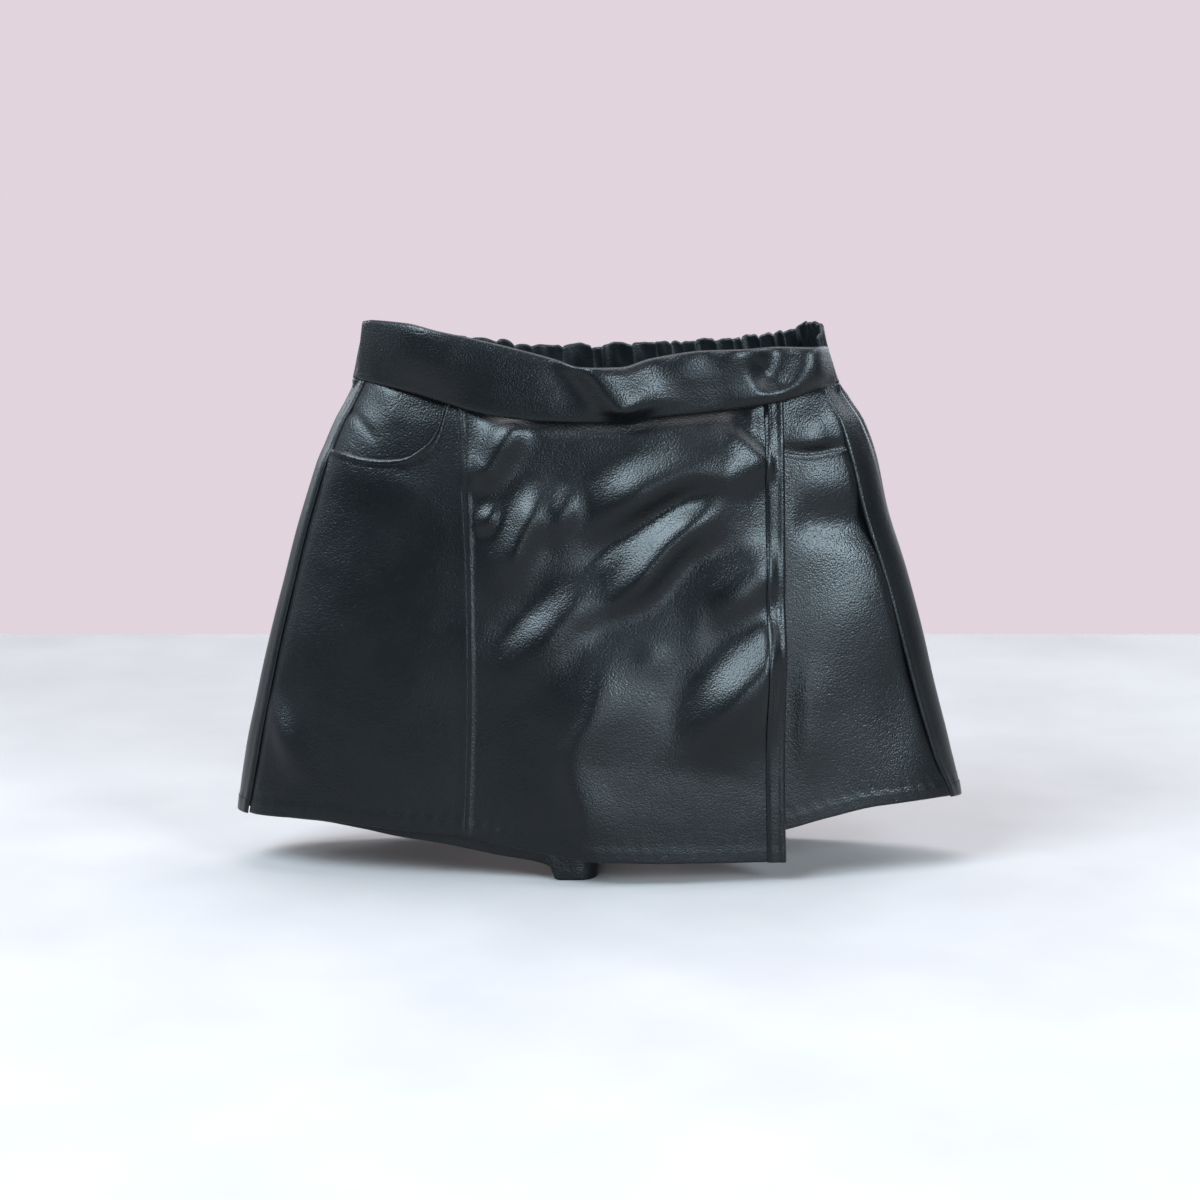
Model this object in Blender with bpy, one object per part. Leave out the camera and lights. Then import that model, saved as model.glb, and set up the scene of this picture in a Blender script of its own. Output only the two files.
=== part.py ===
"""A toddler's wrap skort in black faux leather, standing on its hem.

The garment is a hollow tube of cloth, wider at the hem than at the waist and
much flatter from front to back than from side to side.  Every cut piece is a
thin wall laid on that one form:

  * shorts: a front and a back for each leg; all four turn in along the inner
    thighs, and the two of a leg meet in an inseam between front and back
  * a wrap-over front: a side panel with a scooped pocket, a flap and its placket
  * two pocket facings behind the scooped mouths
  * a smooth front waistband and a gathered elastic back waistband

Lengths in the tables are millimetres and angles are degrees.  x runs to the
viewer's right, y away from the viewer and z up, with the origin on the ground.
An angle runs round the form: 0 at the front's middle, 90 at the right side,
180 or -180 behind, -90 at the left side.
"""
import math

import bmesh
import bpy
from mathutils import Vector

MM = 0.001

# ---------------------------------------------------------------- driving sizes
CLOTH = 1.5             # wall of the faux leather
FACING_CLOTH = 1.1      # wall of the pocket facings
BAND_CLOTH = 2.4        # the front waistband is folded double
ELASTIC_CLOTH = 2.0     # gathered casing round the elastic
GAP = 0.3               # room between two pieces that are sewn together
SIDE_SEAM_GAP = 0.5     # the same room at a side seam, in degrees round the form
LAYER_ROOM = 0.6        # room between two layers that lie on each other

# How far out of the form the inner face of each layer lies.
FACING_LIFT = CLOTH + LAYER_ROOM
WRAP_LIFT = FACING_LIFT + FACING_CLOTH + LAYER_ROOM
PLACKET_LIFT = WRAP_LIFT + CLOTH + LAYER_ROOM
SEAM_ALLOWANCE = 6.0    # how far the front panels reach up behind the waistband
FACING_DEPTH = 10.0     # how far a facing reaches down below its pocket mouth
FACING_HEM_LIMIT = 217.0    # height that a facing's lower edge never rises above
RIGHT_FACING_START = 73.0   # x of the right facing's edge, under the flap
PLACKET_WIDTH = 9.6

# The hollow form, a row for each height: where its left and right sides are,
# and how deep it is in front of and behind the middle.
FORM = (
    # height, left, right, front, back
    (0, -188.5, 190.5, 44, 45),
    (30, -186.5, 189.0, 44, 45),
    (60, -182.0, 182.4, 43, 44),
    (90, -175.5, 174.5, 42, 43),
    (120, -168.3, 167.0, 41, 42),
    (150, -160.4, 159.0, 38, 40),
    (185, -150.6, 147.5, 35, 37),
    (216, -140.2, 139.0, 32, 34),
    (232, -133.0, 132.4, 30, 32),
    (243, -126.4, 124.6, 27.5, 30),
    (255, -120.4, 117.0, 25, 28),
    (270, -117.0, 112.0, 24, 27),
    (292, -113.0, 108.0, 23, 26),
)
FORM_FULLNESS = 0.25    # squares off the round of the form towards its sides
WAIST_HEIGHT = 255.0    # about where the cloth meets the waistband
HIP_HEIGHT = 130.0      # height at which the columns of the legs are evenly spaced
# Middle of the whole outline, seen from above, in the form's frame.
OUTLINE_MIDDLE = Vector((-0.2, -4.4, 0.0))

# Seams down the sides: (height, share of the form's half width).
LEFT_SIDE_SEAM = ((0, 0.972), (29, 0.962), (65, 0.955), (160, 0.960), (211, 0.962), (232, 0.965),
                  (256, 0.970))
RIGHT_SIDE_SEAM = ((0, 0.975), (38, 0.965), (60, 0.945), (98, 0.932), (150, 0.920), (216, 0.912),
                   (238, 0.925), (256, 0.950))
# Seams and edges down the front: (height, x).
PRINCESS_SEAM = ((10, -69.5), (51, -67.5), (110, -66.3), (158, -67.0), (221, -70.0), (252, -71.0))
FLAP_EDGE = ((0, 94.8), (50, 93.4), (145, 92.7), (212, 91.9), (255, 91.0))

# Edges across the front: (x, height).
BAND_BOTTOM = ((-126, 255.5), (-107, 252.0), (-95, 249.6), (-80, 245.9), (-61, 240.6), (-40, 236.8),
               (-20, 235.3), (10, 234.9), (24, 237.3), (50, 240.2), (89, 246.0), (101, 250.0),
               (118, 252.4))
BAND_TOP = ((-122, 281.5), (-114, 284.5), (-98, 283.9), (-80, 280.2), (-55, 275.0), (-35, 270.2),
            (-20, 266.2), (-11, 263.5), (10, 263.3), (25, 267.0), (52, 271.0), (91, 272.0),
            (109, 271.6), (118, 268.5))
WRAP_HEM = ((-184, 28.7), (-146, 29.9), (-123, 28.3), (-102, 26.4), (-69, 23.9), (-49, 19.7),
            (-16, 15.0), (1, 12.8), (51, 11.2), (95, 10.5))
# The left leg's hem drops to the ground at its inner corner, which shows below the flap.
LEFT_LEG_HEM = ((-184, 28.8), (-146, 28.4), (-123, 25.6), (-103, 21.9), (-82, 19.0), (-53, 13.3),
                (-26, 7.7), (-23, 0.6), (-21, 0.0))
RIGHT_LEG_HEM = ((20, 14.0), (60, 19.0), (96, 26.0), (117, 31.4), (144, 36.4), (174, 37.6), (184, 37.0))
LEFT_SCOOP = ((-138, 219.8), (-127, 218.0), (-118, 216.0), (-108, 215.2), (-101, 215.7), (-96, 217.0),
              (-90.5, 220.4), (-84.7, 225.2), (-80.2, 232.8), (-77, 243.0), (-74.5, 249.8), (-66, 248.6))
RIGHT_SCOOP = ((0, 241.0), (40, 245.0), (74, 249.5), (77, 243.0), (80, 234.0), (84.5, 226.0),
               (90, 220.5), (96, 218.2), (105, 217.4), (118, 218.7), (134, 220.6))

# Edges across the back: (angle, height).  The right side is written as the
# same place on a turn to the left, so that one table serves the whole back.
LEFT_BACK_HEM = ((-180, 0.0), (-156, 0.0), (-150, 2.2), (-132, 11.0), (-112, 21.0), (-90, 27.5),
                 (-70, 29.0))
RIGHT_BACK_HEM = ((-293, 37.6), (-270, 34.5), (-252, 29.5), (-236, 23.5), (-220, 14.0), (-207, 4.0),
                  (-202, 0.0), (-180, 0.0))
BACK_BAND_BOTTOM = ((-295, 250.4), (-283, 251.9), (-270, 251.5), (-240, 247.0), (-207, 241.0),
                    (-180, 238.5), (-153, 240.5), (-125, 246.5), (-100, 252.4), (-82, 254.0),
                    (-72, 252.9))
BACK_BAND_TOP = ((-283, 276.0), (-266, 281.0), (-258, 281.5), (-240, 276.0), (-229, 274.0),
                 (-220, 272.0), (-207, 270.4), (-190, 268.8), (-180, 267.4), (-164, 267.6),
                 (-153, 270.8), (-135, 273.0), (-111, 277.5), (-96, 281.0), (-82, 281.5))

# The front waistband's inner face: (x, distance out).  It steps over the flap
# and its placket, and down again onto the right leg.
ON_FACING = FACING_LIFT + FACING_CLOTH + GAP
ON_FLAP = WRAP_LIFT + CLOTH + LAYER_ROOM
ON_PLACKET = PLACKET_LIFT + CLOTH + LAYER_ROOM
ON_LEG = CLOTH + LAYER_ROOM
BAND_LIFT = ((-126, ON_FACING), (-83, ON_FACING), (-76, ON_FLAP), (66, ON_FLAP), (74, ON_PLACKET),
             (98, ON_PLACKET), (108, ON_LEG), (120, ON_LEG))
BAND_ENDS = (-82.0, 77.0)           # angles of its end seams
BAND_END_GAP = 0.3                  # room at an end seam, in degrees
BAND_OVERHANG = 3.4                 # its lower edge rolls out over the flap
BAND_OVERHANG_FROM = (-66.0, -41.0) # x where it starts to roll out, and where it fully does
BAND_OVERHANG_TO = (74.0, 49.0)     # the same from its other end
BAND_LEVEL = 260.0                  # height at which its angles are turned into x

# How far the flap stands off the shorts below the waist: (x, distance).
FLAP_STAND_OFF = ((-72, 0.0), (-30, 2.4), (30, 3.4), (70, 2.4), (96, 1.2))
STAND_OFF_HEIGHTS = (232.0, 198.0)  # none above the first, all of it below the second

# Where the wrap-over front covers the left facing, and so can't sink in towards the leg.
OVER_FACING_HEIGHTS = (180.0, 193.0)    # from nowhere at the first to fully at the second
OVER_FACING_X = (-52.0, -64.0)
CLEAR_OF_FLAP_X = (94.0, 108.0)     # the right leg's folds grow from the flap's edge outwards

# Gathers: waves of the elastic, and the softer folds that they leave in the seat.
WAIST_WAVES = 30
WAVE_HEIGHT = 2.6
WAVE_TOP_RISE = 1.2
SEAT_FOLDS = 15
SEAT_FOLD_HEIGHT = 3.2
SEAT_FOLD_FADE = 100.0
ELASTIC_END_LIFT = (ON_LEG, ON_FACING)  # the casing meets the front band's right and left ends
ELASTIC_END_SPAN = 25.0

# Between the legs.
CROTCH = 50.0           # height of the crotch seam's lowest point
CROTCH_RISE = 16.0      # how much higher that seam meets the broad faces
LEG_GAP = 1.2           # half the room between the legs at the hem
THIGH_ROUND = 9.0       # radius of the inner thigh's corners at the hem
TURN_FROM = 14.0        # distance from the middle at which a leg's face starts to turn in
RIGHT_THIGH_HEM = 7.0   # height of the right leg's hem at its inseam

# The left back comes out to meet the wrap-over's edge at the side seam, and less far
# out to meet the facing's edge above the pocket mouth.
LEFT_LIFT_END = -102.0
POCKET_MOUTH_STEP = (210.0, 222.0)

# Folds.  A trough's height is negative.
FLAP_FOLDS = (
    # from x, from z, to x, to z, half width, height
    (63, 231, 36, 229, 7.0, 2.6),       # ridge that leaves the waist at the right
    (36, 229, -9, 190, 8.5, 3.0),
    (51, 206, -6, 172, 7.0, -3.4),      # trough under it
    (51, 197, 2, 159, 8.0, 4.4),        # the long ridge across the flap
    (2, 159, -42, 119, 8.5, 4.2),
    (-42, 119, -66, 95, 8.0, 2.2),
    (57, 190, 2, 133, 6.5, -2.8),       # trough along its lower side
    (79, 206, 73, 199, 7.0, -2.6),      # hollow beside the placket
    (84, 176, 61, 154, 7.5, 2.8),
    (85, 148, 70, 115, 8.0, 3.2),
    (70, 115, 50, 84, 9.0, 2.4),
    (-1, 117, 5, 89, 9.0, 2.2),         # soft upright ridge at the lower middle
    (5, 89, 0, 30, 10.0, 2.6),
    (-16, 90, -20, 40, 9.0, -2.4),
    (-50, 231, -64, 204, 5.5, 2.2),     # short ridges beside the princess seam
    (-34, 206, -57, 182, 5.5, -2.4),
    (-38, 192, -52, 158, 5.0, 2.6),
    (-21, 202, -29, 180, 4.5, 1.8),
)
SIDE_PANEL_FOLDS = (
    # from x, from z, to x, to z, half width, height
    (-130, 202, -80, 192, 6.5, -1.5),   # hollow under the pocket mouth
    (-118, 186, -80, 182, 8.0, 2.0),
    (-104, 216, -92, 219, 6.0, 1.4),    # the mouth's lip sags open
    (-164, 92, -157, 50, 7.0, 2.2),
    (-120, 120, -112, 60, 14.0, 1.4),
)
RIGHT_LEG_FOLDS = (
    # from x, from z, to x, to z, half width, height
    (104, 188, 138, 186, 7.0, -2.0),
    (146, 163, 108, 132, 8.0, 2.6),
    (116, 120, 118, 62, 11.0, 2.2),
    (146, 118, 152, 60, 9.0, -2.0),
)
BAND_FOLDS = (
    # from x, from z, to x, to z, half width, height
    (0, 262, 12, 238, 5.0, 1.6),
    (24, 264, 30, 244, 6.0, -1.2),
    (80, 270, 95, 258, 5.5, -1.4),
    (98, 266, 118, 262, 4.5, 1.2),
    (-60, 272, -45, 244, 7.0, 1.0),
)
BAND_FOLD_START = 0.35  # the band's folds reach their full height at this share of its own
FOLD_START = 10.0       # the flap's folds reach their full height this far below the band

# Colour and roughness of each finish.
BLACK_LEATHER = ("faux_leather_black", (0.012, 0.014, 0.016, 1.0), 0.42)
BLACK_KNIT = ("elastic_casing_black", (0.010, 0.011, 0.012, 1.0), 0.70)


# ---------------------------------------------------------------- meshing
ROUNDS = 12             # x, angle and height of a place depend on each other: found in rounds
THIGH_COLUMNS = 6       # columns of each piece round the inner thigh
CORNER_STEPS = 6
# Rows of a leg's pieces, as shares of their height: close together at the crotch and
# under the waistband.
LEG_ROWS = (0.0, 0.09, 0.16, 0.20, 0.23, 0.26, 0.30, 0.37, 0.46, 0.55, 0.64, 0.73, 0.81, 0.87, 0.92,
            0.96, 1.0)


# ---------------------------------------------------------------- small helpers
def clear_scene():
    for thing in list(bpy.data.objects):
        bpy.data.objects.remove(thing, do_unlink=True)


def mix(first, second, share):
    return first + (second - first) * share


def ease(start, end, value):
    """0 up to start, 1 from end on, and a smooth step between them."""
    share = min(max((value - start) / (end - start), 0.0), 1.0)
    return share * share * (3.0 - 2.0 * share)


def table_slope(table, row, column):
    """Slope of the smooth curve through a table at one of its rows."""
    def step(i):
        return (table[i + 1][column] - table[i][column]) / (table[i + 1][0] - table[i][0])

    last = len(table) - 1
    if row in (0, last):
        return step(min(row, last - 1))
    before, after = step(row - 1), step(row)
    return 0.0 if before * after <= 0.0 else 2.0 * before * after / (before + after)


def read(table, at, column=1):
    """Read a table between its rows, on a smooth curve that never overshoots."""
    if at <= table[0][0]:
        return float(table[0][column])
    if at >= table[-1][0]:
        return float(table[-1][column])
    row = next(i for i in range(len(table) - 1) if at <= table[i + 1][0])
    span = table[row + 1][0] - table[row][0]
    t = (at - table[row][0]) / span
    rise = 3 * t ** 2 - 2 * t ** 3
    return (mix(table[row][column], table[row + 1][column], rise)
            + span * table_slope(table, row, column) * (t ** 3 - 2 * t ** 2 + t)
            + span * table_slope(table, row + 1, column) * (t ** 3 - t ** 2))


def fold(folds, x, z):
    """Sum of all folds at a place: each is a round-ended ridge or trough."""
    total = 0.0
    for from_x, from_z, to_x, to_z, half_width, height in folds:
        run_x, run_z = to_x - from_x, to_z - from_z
        along = ((x - from_x) * run_x + (z - from_z) * run_z) / (run_x ** 2 + run_z ** 2)
        along = min(max(along, 0.0), 1.0)
        away = math.hypot(x - from_x - along * run_x, z - from_z - along * run_z)
        total += height * math.exp(-(away / half_width) ** 2)
    return total


# ---------------------------------------------------------------- the form
def form(height):
    """Middle, half width, front depth and back depth of the form at a height."""
    left, right = read(FORM, height, 1), read(FORM, height, 2)
    return (left + right) / 2, (right - left) / 2, read(FORM, height, 3), read(FORM, height, 4)


def on_form(angle, height):
    """The form's point at an angle and a height, with its level outward normal."""
    middle, half, front, back = form(height)
    sine, cosine = math.sin(math.radians(angle)), math.cos(math.radians(angle))
    depth = front if cosine > 0.0 else back
    fullness = 1.0 + FORM_FULLNESS * sine * sine
    point = Vector((middle + half * sine, -depth * cosine * fullness, height))
    along_x = half * cosine
    along_y = depth * sine * (fullness - 2.0 * FORM_FULLNESS * cosine * cosine)
    return point, Vector((along_y, -along_x, 0.0)).normalized()


def front_angle(x, height):
    """The angle of a place on the front that is given by its x."""
    middle, half, _, _ = form(height)
    return math.degrees(math.asin(min(max((x - middle) / half, -1.0), 1.0)))


def front_x(angle, height):
    middle, half, _, _ = form(height)
    return middle + half * math.sin(math.radians(angle))


def left_side_angle(height):
    return -math.degrees(math.asin(read(LEFT_SIDE_SEAM, height)))


def right_side_angle(height):
    return math.degrees(math.asin(read(RIGHT_SIDE_SEAM, height)))


def even_shares(start, end, height, count):
    """Shares of a stretch of angles that stand at even distances round the form."""
    fine = 240
    points = [on_form(mix(start, end, i / fine), height)[0] for i in range(fine + 1)]
    run = [0.0]
    for i in range(fine):
        run.append(run[-1] + (points[i + 1] - points[i]).length)
    shares = []
    for k in range(count + 1):
        wanted = run[-1] * k / count
        i = next((i for i in range(fine) if run[i + 1] >= wanted), fine - 1)
        shares.append((i + (wanted - run[i]) / (run[i + 1] - run[i])) / fine)
    return shares


# ---------------------------------------------------------------- making solids
def material(name, colour, roughness):
    made = bpy.data.materials.new(name)
    made.use_nodes = True
    shader = made.node_tree.nodes["Principled BSDF"]
    shader.inputs["Base Color"].default_value = colour
    shader.inputs["Roughness"].default_value = roughness
    shader.inputs["Metallic"].default_value = 0.0
    return made


def wall(name, finish, grid):
    """Close a grid of (inside point, outside point) pairs into one solid."""
    mesh = bmesh.new()
    rows, columns = len(grid), len(grid[0])
    inner = [[mesh.verts.new((pair[0] - OUTLINE_MIDDLE) * MM) for pair in line] for line in grid]
    outer = [[mesh.verts.new((pair[1] - OUTLINE_MIDDLE) * MM) for pair in line] for line in grid]
    for i in range(rows - 1):
        for j in range(columns - 1):
            mesh.faces.new((outer[i][j], outer[i][j + 1], outer[i + 1][j + 1], outer[i + 1][j]))
            mesh.faces.new((inner[i][j], inner[i + 1][j], inner[i + 1][j + 1], inner[i][j + 1]))
    for j in range(columns - 1):
        mesh.faces.new((outer[0][j], inner[0][j], inner[0][j + 1], outer[0][j + 1]))
        mesh.faces.new((outer[-1][j], outer[-1][j + 1], inner[-1][j + 1], inner[-1][j]))
    for i in range(rows - 1):
        mesh.faces.new((outer[i][0], outer[i + 1][0], inner[i + 1][0], inner[i][0]))
        mesh.faces.new((outer[i][-1], inner[i][-1], inner[i + 1][-1], outer[i + 1][-1]))
    bmesh.ops.recalc_face_normals(mesh, faces=mesh.faces)
    bmesh.ops.triangulate(mesh, faces=mesh.faces, quad_method="SHORT_EDGE")
    data = bpy.data.meshes.new(name)
    mesh.to_mesh(data)
    mesh.free()
    data.shade_smooth()
    data.set_sharp_from_angle(angle=math.radians(50))
    data.materials.append(finish)
    piece = bpy.data.objects.new(name, data)
    bpy.context.scene.collection.objects.link(piece)


def cloth_pair(point, outward, start, cloth):
    """The two faces of the cloth at one place."""
    return point + outward * start, point + outward * (start + cloth)


def front_wall(name, finish, edges, columns, rows, lift, cloth):
    """A wall on the front between its left, right, lower and upper edges.

    left and right give an angle at a height, lower and upper give a height at
    an x, and lift gives how far out the inner face lies at an x and a height.
    """
    left, right, lower, upper = edges
    grid = []
    for row in range(rows + 1):
        line = []
        for column in range(columns + 1):
            z = mix(lower(0.0), upper(0.0), row / rows)
            for _ in range(ROUNDS):
                angle = mix(left(z), right(z), column / columns)
                x = front_x(angle, z)
                z = mix(lower(x), upper(x), row / rows)
            point, outward = on_form(front_angle(x, z), z)
            line.append(cloth_pair(point, outward, lift(x, z), cloth))
        grid.append(line)
    wall(name, finish, grid)


def down_front(table, shift=0.0):
    """An edge that runs down the front, as an angle at a height."""
    return lambda z: front_angle(read(table, z) + shift, z)


def across_front(table):
    """An edge that runs across the front, as a height at an x."""
    return lambda x: read(table, x)


# ---------------------------------------------------------------- wrap-over front
def behind_band(x):
    return read(BAND_BOTTOM, x) + SEAM_ALLOWANCE


def wrap_surface(x, z):
    """Inner face of the wrap-over front, shared by all that is sewn into it."""
    stand_off = read(FLAP_STAND_OFF, x) * ease(*STAND_OFF_HEIGHTS, z)
    free = ease(0.0, FOLD_START, read(BAND_BOTTOM, x) - z)
    folds = free * (fold(FLAP_FOLDS, x, z) + fold(SIDE_PANEL_FOLDS, x, z))
    over_facing = ease(*OVER_FACING_HEIGHTS, z) * ease(*OVER_FACING_X, x)
    lowest = mix(CLOTH + GAP, WRAP_LIFT, over_facing)
    return max(WRAP_LIFT + stand_off + folds, lowest)


def make_front_side_panel(finish):
    edges = (left_side_angle, down_front(PRINCESS_SEAM, -GAP / 2),
             across_front(WRAP_HEM), across_front(LEFT_SCOOP))
    front_wall("front_side_panel", finish, edges, 16, 16, wrap_surface, CLOTH)


def make_front_flap_panel(finish):
    edges = (down_front(PRINCESS_SEAM, GAP / 2), down_front(FLAP_EDGE),
             across_front(WRAP_HEM), behind_band)
    front_wall("front_flap_panel", finish, edges, 23, 24, wrap_surface, CLOTH)


def make_flap_placket(finish):
    edges = (down_front(FLAP_EDGE, -PLACKET_WIDTH), down_front(FLAP_EDGE),
             across_front(WRAP_HEM), behind_band)

    def on_flap(x, z):
        return wrap_surface(x, z) + PLACKET_LIFT - WRAP_LIFT
    front_wall("flap_placket", finish, edges, 2, 24, on_flap, CLOTH)


def make_pocket_facings(finish):
    """The left facing lies on the leg's front, and the right one inside it."""
    def under(scoop):
        return lambda x: min(read(scoop, x) - FACING_DEPTH, FACING_HEM_LIMIT)

    edges = (left_side_angle, down_front(PRINCESS_SEAM, -CLOTH), under(LEFT_SCOOP), behind_band)
    front_wall("pocket_facing_left", finish, edges, 12, 8, lambda x, z: FACING_LIFT, FACING_CLOTH)
    edges = (lambda z: front_angle(RIGHT_FACING_START, z), right_side_angle,
             under(RIGHT_SCOOP), behind_band)
    front_wall("pocket_facing_right", finish, edges, 10, 8,
               lambda x, z: -FACING_CLOTH - LAYER_ROOM, FACING_CLOTH)


# ---------------------------------------------------------------- shorts
def crotch_share(z):
    """How far a piece has turned in along the inner thigh: its edge there is the crotch seam."""
    if z <= CROTCH:
        return 1.0
    return 1.0 - min(math.sqrt((z - CROTCH) / CROTCH_RISE), 1.0)


def thigh_path(side, behind, z):
    """Level path from a leg's broad face, round a corner and in along the inner thigh.

    Returns the path and the length of its straight start on the broad face.
    Above the crotch seam there is only that start, up to the middle seam.
    """
    seam_top = CROTCH + CROTCH_RISE
    face_y = on_form(180.0 if behind else 0.0, z)[0].y
    room = GAP / 2 + CLOTH * ease(seam_top + 10.0, seam_top + 2.0, z) + LEG_GAP * ease(CROTCH, 0.0, z)
    start, _ = on_form(turn_angle(side, behind, z), z)
    if z >= seam_top:
        return [start, Vector((side * room, face_y, z))], abs(start.x) - room
    radius = mix(0.5, THIGH_ROUND, ease(seam_top, CROTCH - 30.0, z))
    corner = Vector((side * room, face_y, z))
    inward = Vector((0.0, -math.copysign(radius, face_y), 0.0))
    along_face = Vector((side * radius, 0.0, 0.0))
    path = [start]
    for step in range(CORNER_STEPS + 1):
        turn = math.radians(90.0 * step / CORNER_STEPS)
        path.append(corner + along_face * (1.0 - math.sin(turn)) + inward * (1.0 - math.cos(turn)))
    path.append(Vector((corner.x, math.copysign(GAP / 2, face_y), z)))
    return path, abs(start.x) - room - radius


def at_distance(path, distance):
    """The point at a distance along a path, which runs straight on past its ends."""
    for first, second in zip(path, path[1:]):
        length = (second - first).length
        if distance <= length or second is path[-1]:
            return first + (second - first) * (distance / length)
        distance -= length


def on_thigh(side, behind, share, z):
    """Point and level outward normal at a share of the way in along the inner thigh."""
    path, face_length = thigh_path(side, behind, z)
    whole = sum((second - first).length for first, second in zip(path, path[1:]))
    distance = share * mix(face_length, whole, crotch_share(z))
    way = at_distance(path, distance + 0.3) - at_distance(path, distance - 0.3)
    turn = -side if behind else side
    return at_distance(path, distance), Vector((-way.y, way.x, 0.0)).normalized() * turn


def turn_angle(side, behind, z):
    """Angle at which a leg's broad face starts to turn in to the inner thigh."""
    angle = front_angle(side * TURN_FROM, z)
    return side * 180.0 - angle if behind else angle


def leg_wall(name, finish, side, behind, shares, hem, top, thigh_hem, lift):
    """A leg's front or back: its broad face, then its half of the inner thigh.

    hem and top give a height at an (angle, x), thigh_hem is the hem's height at
    the inseam, and lift gives how far out the inner face lies at (angle, x, z).
    """
    side_angle = right_side_angle if side > 0 else left_side_angle
    clear_of_seam = side * SIDE_SEAM_GAP if behind else 0.0
    grid = []
    for up in LEG_ROWS:
        line = []
        for share in shares:
            z = WAIST_HEIGHT * up
            for _ in range(ROUNDS):
                angle = mix(side_angle(z) + clear_of_seam, turn_angle(side, behind, z), share)
                x = front_x(angle, z)
                z = mix(hem(angle, x), top(angle, x), up)
            point, outward = on_form(angle, z)
            line.append(cloth_pair(point, outward, lift(angle, x, z), CLOTH))
        turn_hem, turn_top = hem(angle, x), top(angle, x)
        for column in range(1, THIGH_COLUMNS + 1):
            share = column / THIGH_COLUMNS
            z = mix(mix(turn_hem, thigh_hem, share), turn_top, up)
            point, outward = on_thigh(side, behind, share, z)
            line.append(cloth_pair(point, outward, 0.0, CLOTH))
        grid.append(line)
    wall(name, finish, grid)


def stepped_shares(pivot, before, after):
    """Shares that run evenly to a pivot in some steps, and evenly on to 1 in others."""
    return ([pivot * i / before for i in range(before)]
            + [mix(pivot, 1.0, i / after) for i in range(after + 1)])


def make_left_leg_front(finish):
    leg_wall("left_leg_front", finish, -1, False, even_shares(-72.0, -4.5, HIP_HEIGHT, 14),
             lambda angle, x: read(LEFT_LEG_HEM, x), lambda angle, x: behind_band(x), 0.0,
             lambda angle, x, z: 0.0)


def make_right_leg_front(finish):
    """Its columns stand close together where it shows, and wide apart under the flap."""
    def lift(angle, x, z):
        return ease(*CLEAR_OF_FLAP_X, x) * fold(RIGHT_LEG_FOLDS, x, z)

    leg_wall("right_leg_front", finish, 1, False, stepped_shares(pivot=0.56, before=14, after=4),
             lambda angle, x: read(RIGHT_LEG_HEM, x), lambda angle, x: read(RIGHT_SCOOP, x),
             RIGHT_THIGH_HEM, lift)


def seat_fold(angle, z):
    """The gathers' folds in the seat: deepest at the waistband, then dying out."""
    around = (angle + 270.0) / 180.0
    below = read(BACK_BAND_BOTTOM, angle) - z
    reach = SEAT_FOLD_FADE * (0.75 + 0.25 * math.sin(9.0 * math.pi * around + 0.4))
    fade = ease(reach, 0.0, below) * ease(-0.10, 0.06, around) * ease(1.08, 0.94, around)
    fade *= ease(5.0, 11.0, abs(angle + 180.0))
    wave = 0.5 + 0.5 * math.sin(math.tau * SEAT_FOLDS * around + 0.7 * math.sin(5.0 * math.pi * around))
    return SEAT_FOLD_HEIGHT * fade * wave


def make_leg_backs(finish):
    def round_left(angle):
        return angle if angle < 0.0 else angle - 360.0

    def top(angle, x):
        return read(BACK_BAND_BOTTOM, round_left(angle)) - GAP

    def left_lift(angle, x, z):
        beside = mix(WRAP_LIFT, FACING_LIFT, ease(*POCKET_MOUTH_STEP, z))
        return beside * ease(LEFT_LIFT_END, left_side_angle(z), angle) + seat_fold(angle, z)

    def right_lift(angle, x, z):
        return seat_fold(round_left(angle), z)

    leg_wall("back_left", finish, -1, True, even_shares(-72.0, -175.0, HIP_HEIGHT, 27),
             lambda angle, x: read(LEFT_BACK_HEM, angle), top, 0.0, left_lift)
    leg_wall("back_right", finish, 1, True, even_shares(67.0, 175.0, HIP_HEIGHT, 27),
             lambda angle, x: read(RIGHT_BACK_HEM, round_left(angle)), top, RIGHT_THIGH_HEM, right_lift)


# ---------------------------------------------------------------- waistband
def make_front_waistband(finish):
    """The band lies on the panels' tops, and its lower edge rolls out over the flap."""
    columns, rows = 38, 5
    grid = []
    for row in range(rows + 1):
        up = row / rows
        line = []
        for column in range(columns + 1):
            angle = mix(*BAND_ENDS, column / columns)
            x = front_x(angle, BAND_LEVEL)
            z = mix(read(BAND_BOTTOM, x), read(BAND_TOP, x), up)
            point, outward = on_form(angle, z)
            over_flap = ease(*BAND_OVERHANG_FROM, x) * ease(*BAND_OVERHANG_TO, x)
            start = read(BAND_LIFT, x) + BAND_OVERHANG * over_flap * (1.0 - up) ** 2
            start += fold(BAND_FOLDS, x, z) * ease(0.0, BAND_FOLD_START, up)
            line.append(cloth_pair(point, outward, start, BAND_CLOTH))
        grid.append(line)
    wall("front_waistband", finish, grid)


def gather(angle):
    """Uneven waves of the elastic: 0 at its two end seams, up to 1 between them."""
    from_angle, to_angle = BAND_ENDS[1] - 360.0, BAND_ENDS[0]
    around = (angle - from_angle) / (to_angle - from_angle)
    drift = 0.7 * math.sin(5.3 * math.pi * around) + 0.45 * math.sin(11.7 * math.pi * around + 1.0)
    wave = 0.5 + 0.5 * math.sin(math.tau * WAIST_WAVES * around + drift)
    uneven = 0.72 + 0.28 * math.sin(7.9 * math.pi * around + 0.6)
    return wave * uneven * ease(0.0, 0.05, around) * ease(1.0, 0.95, around)


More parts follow.
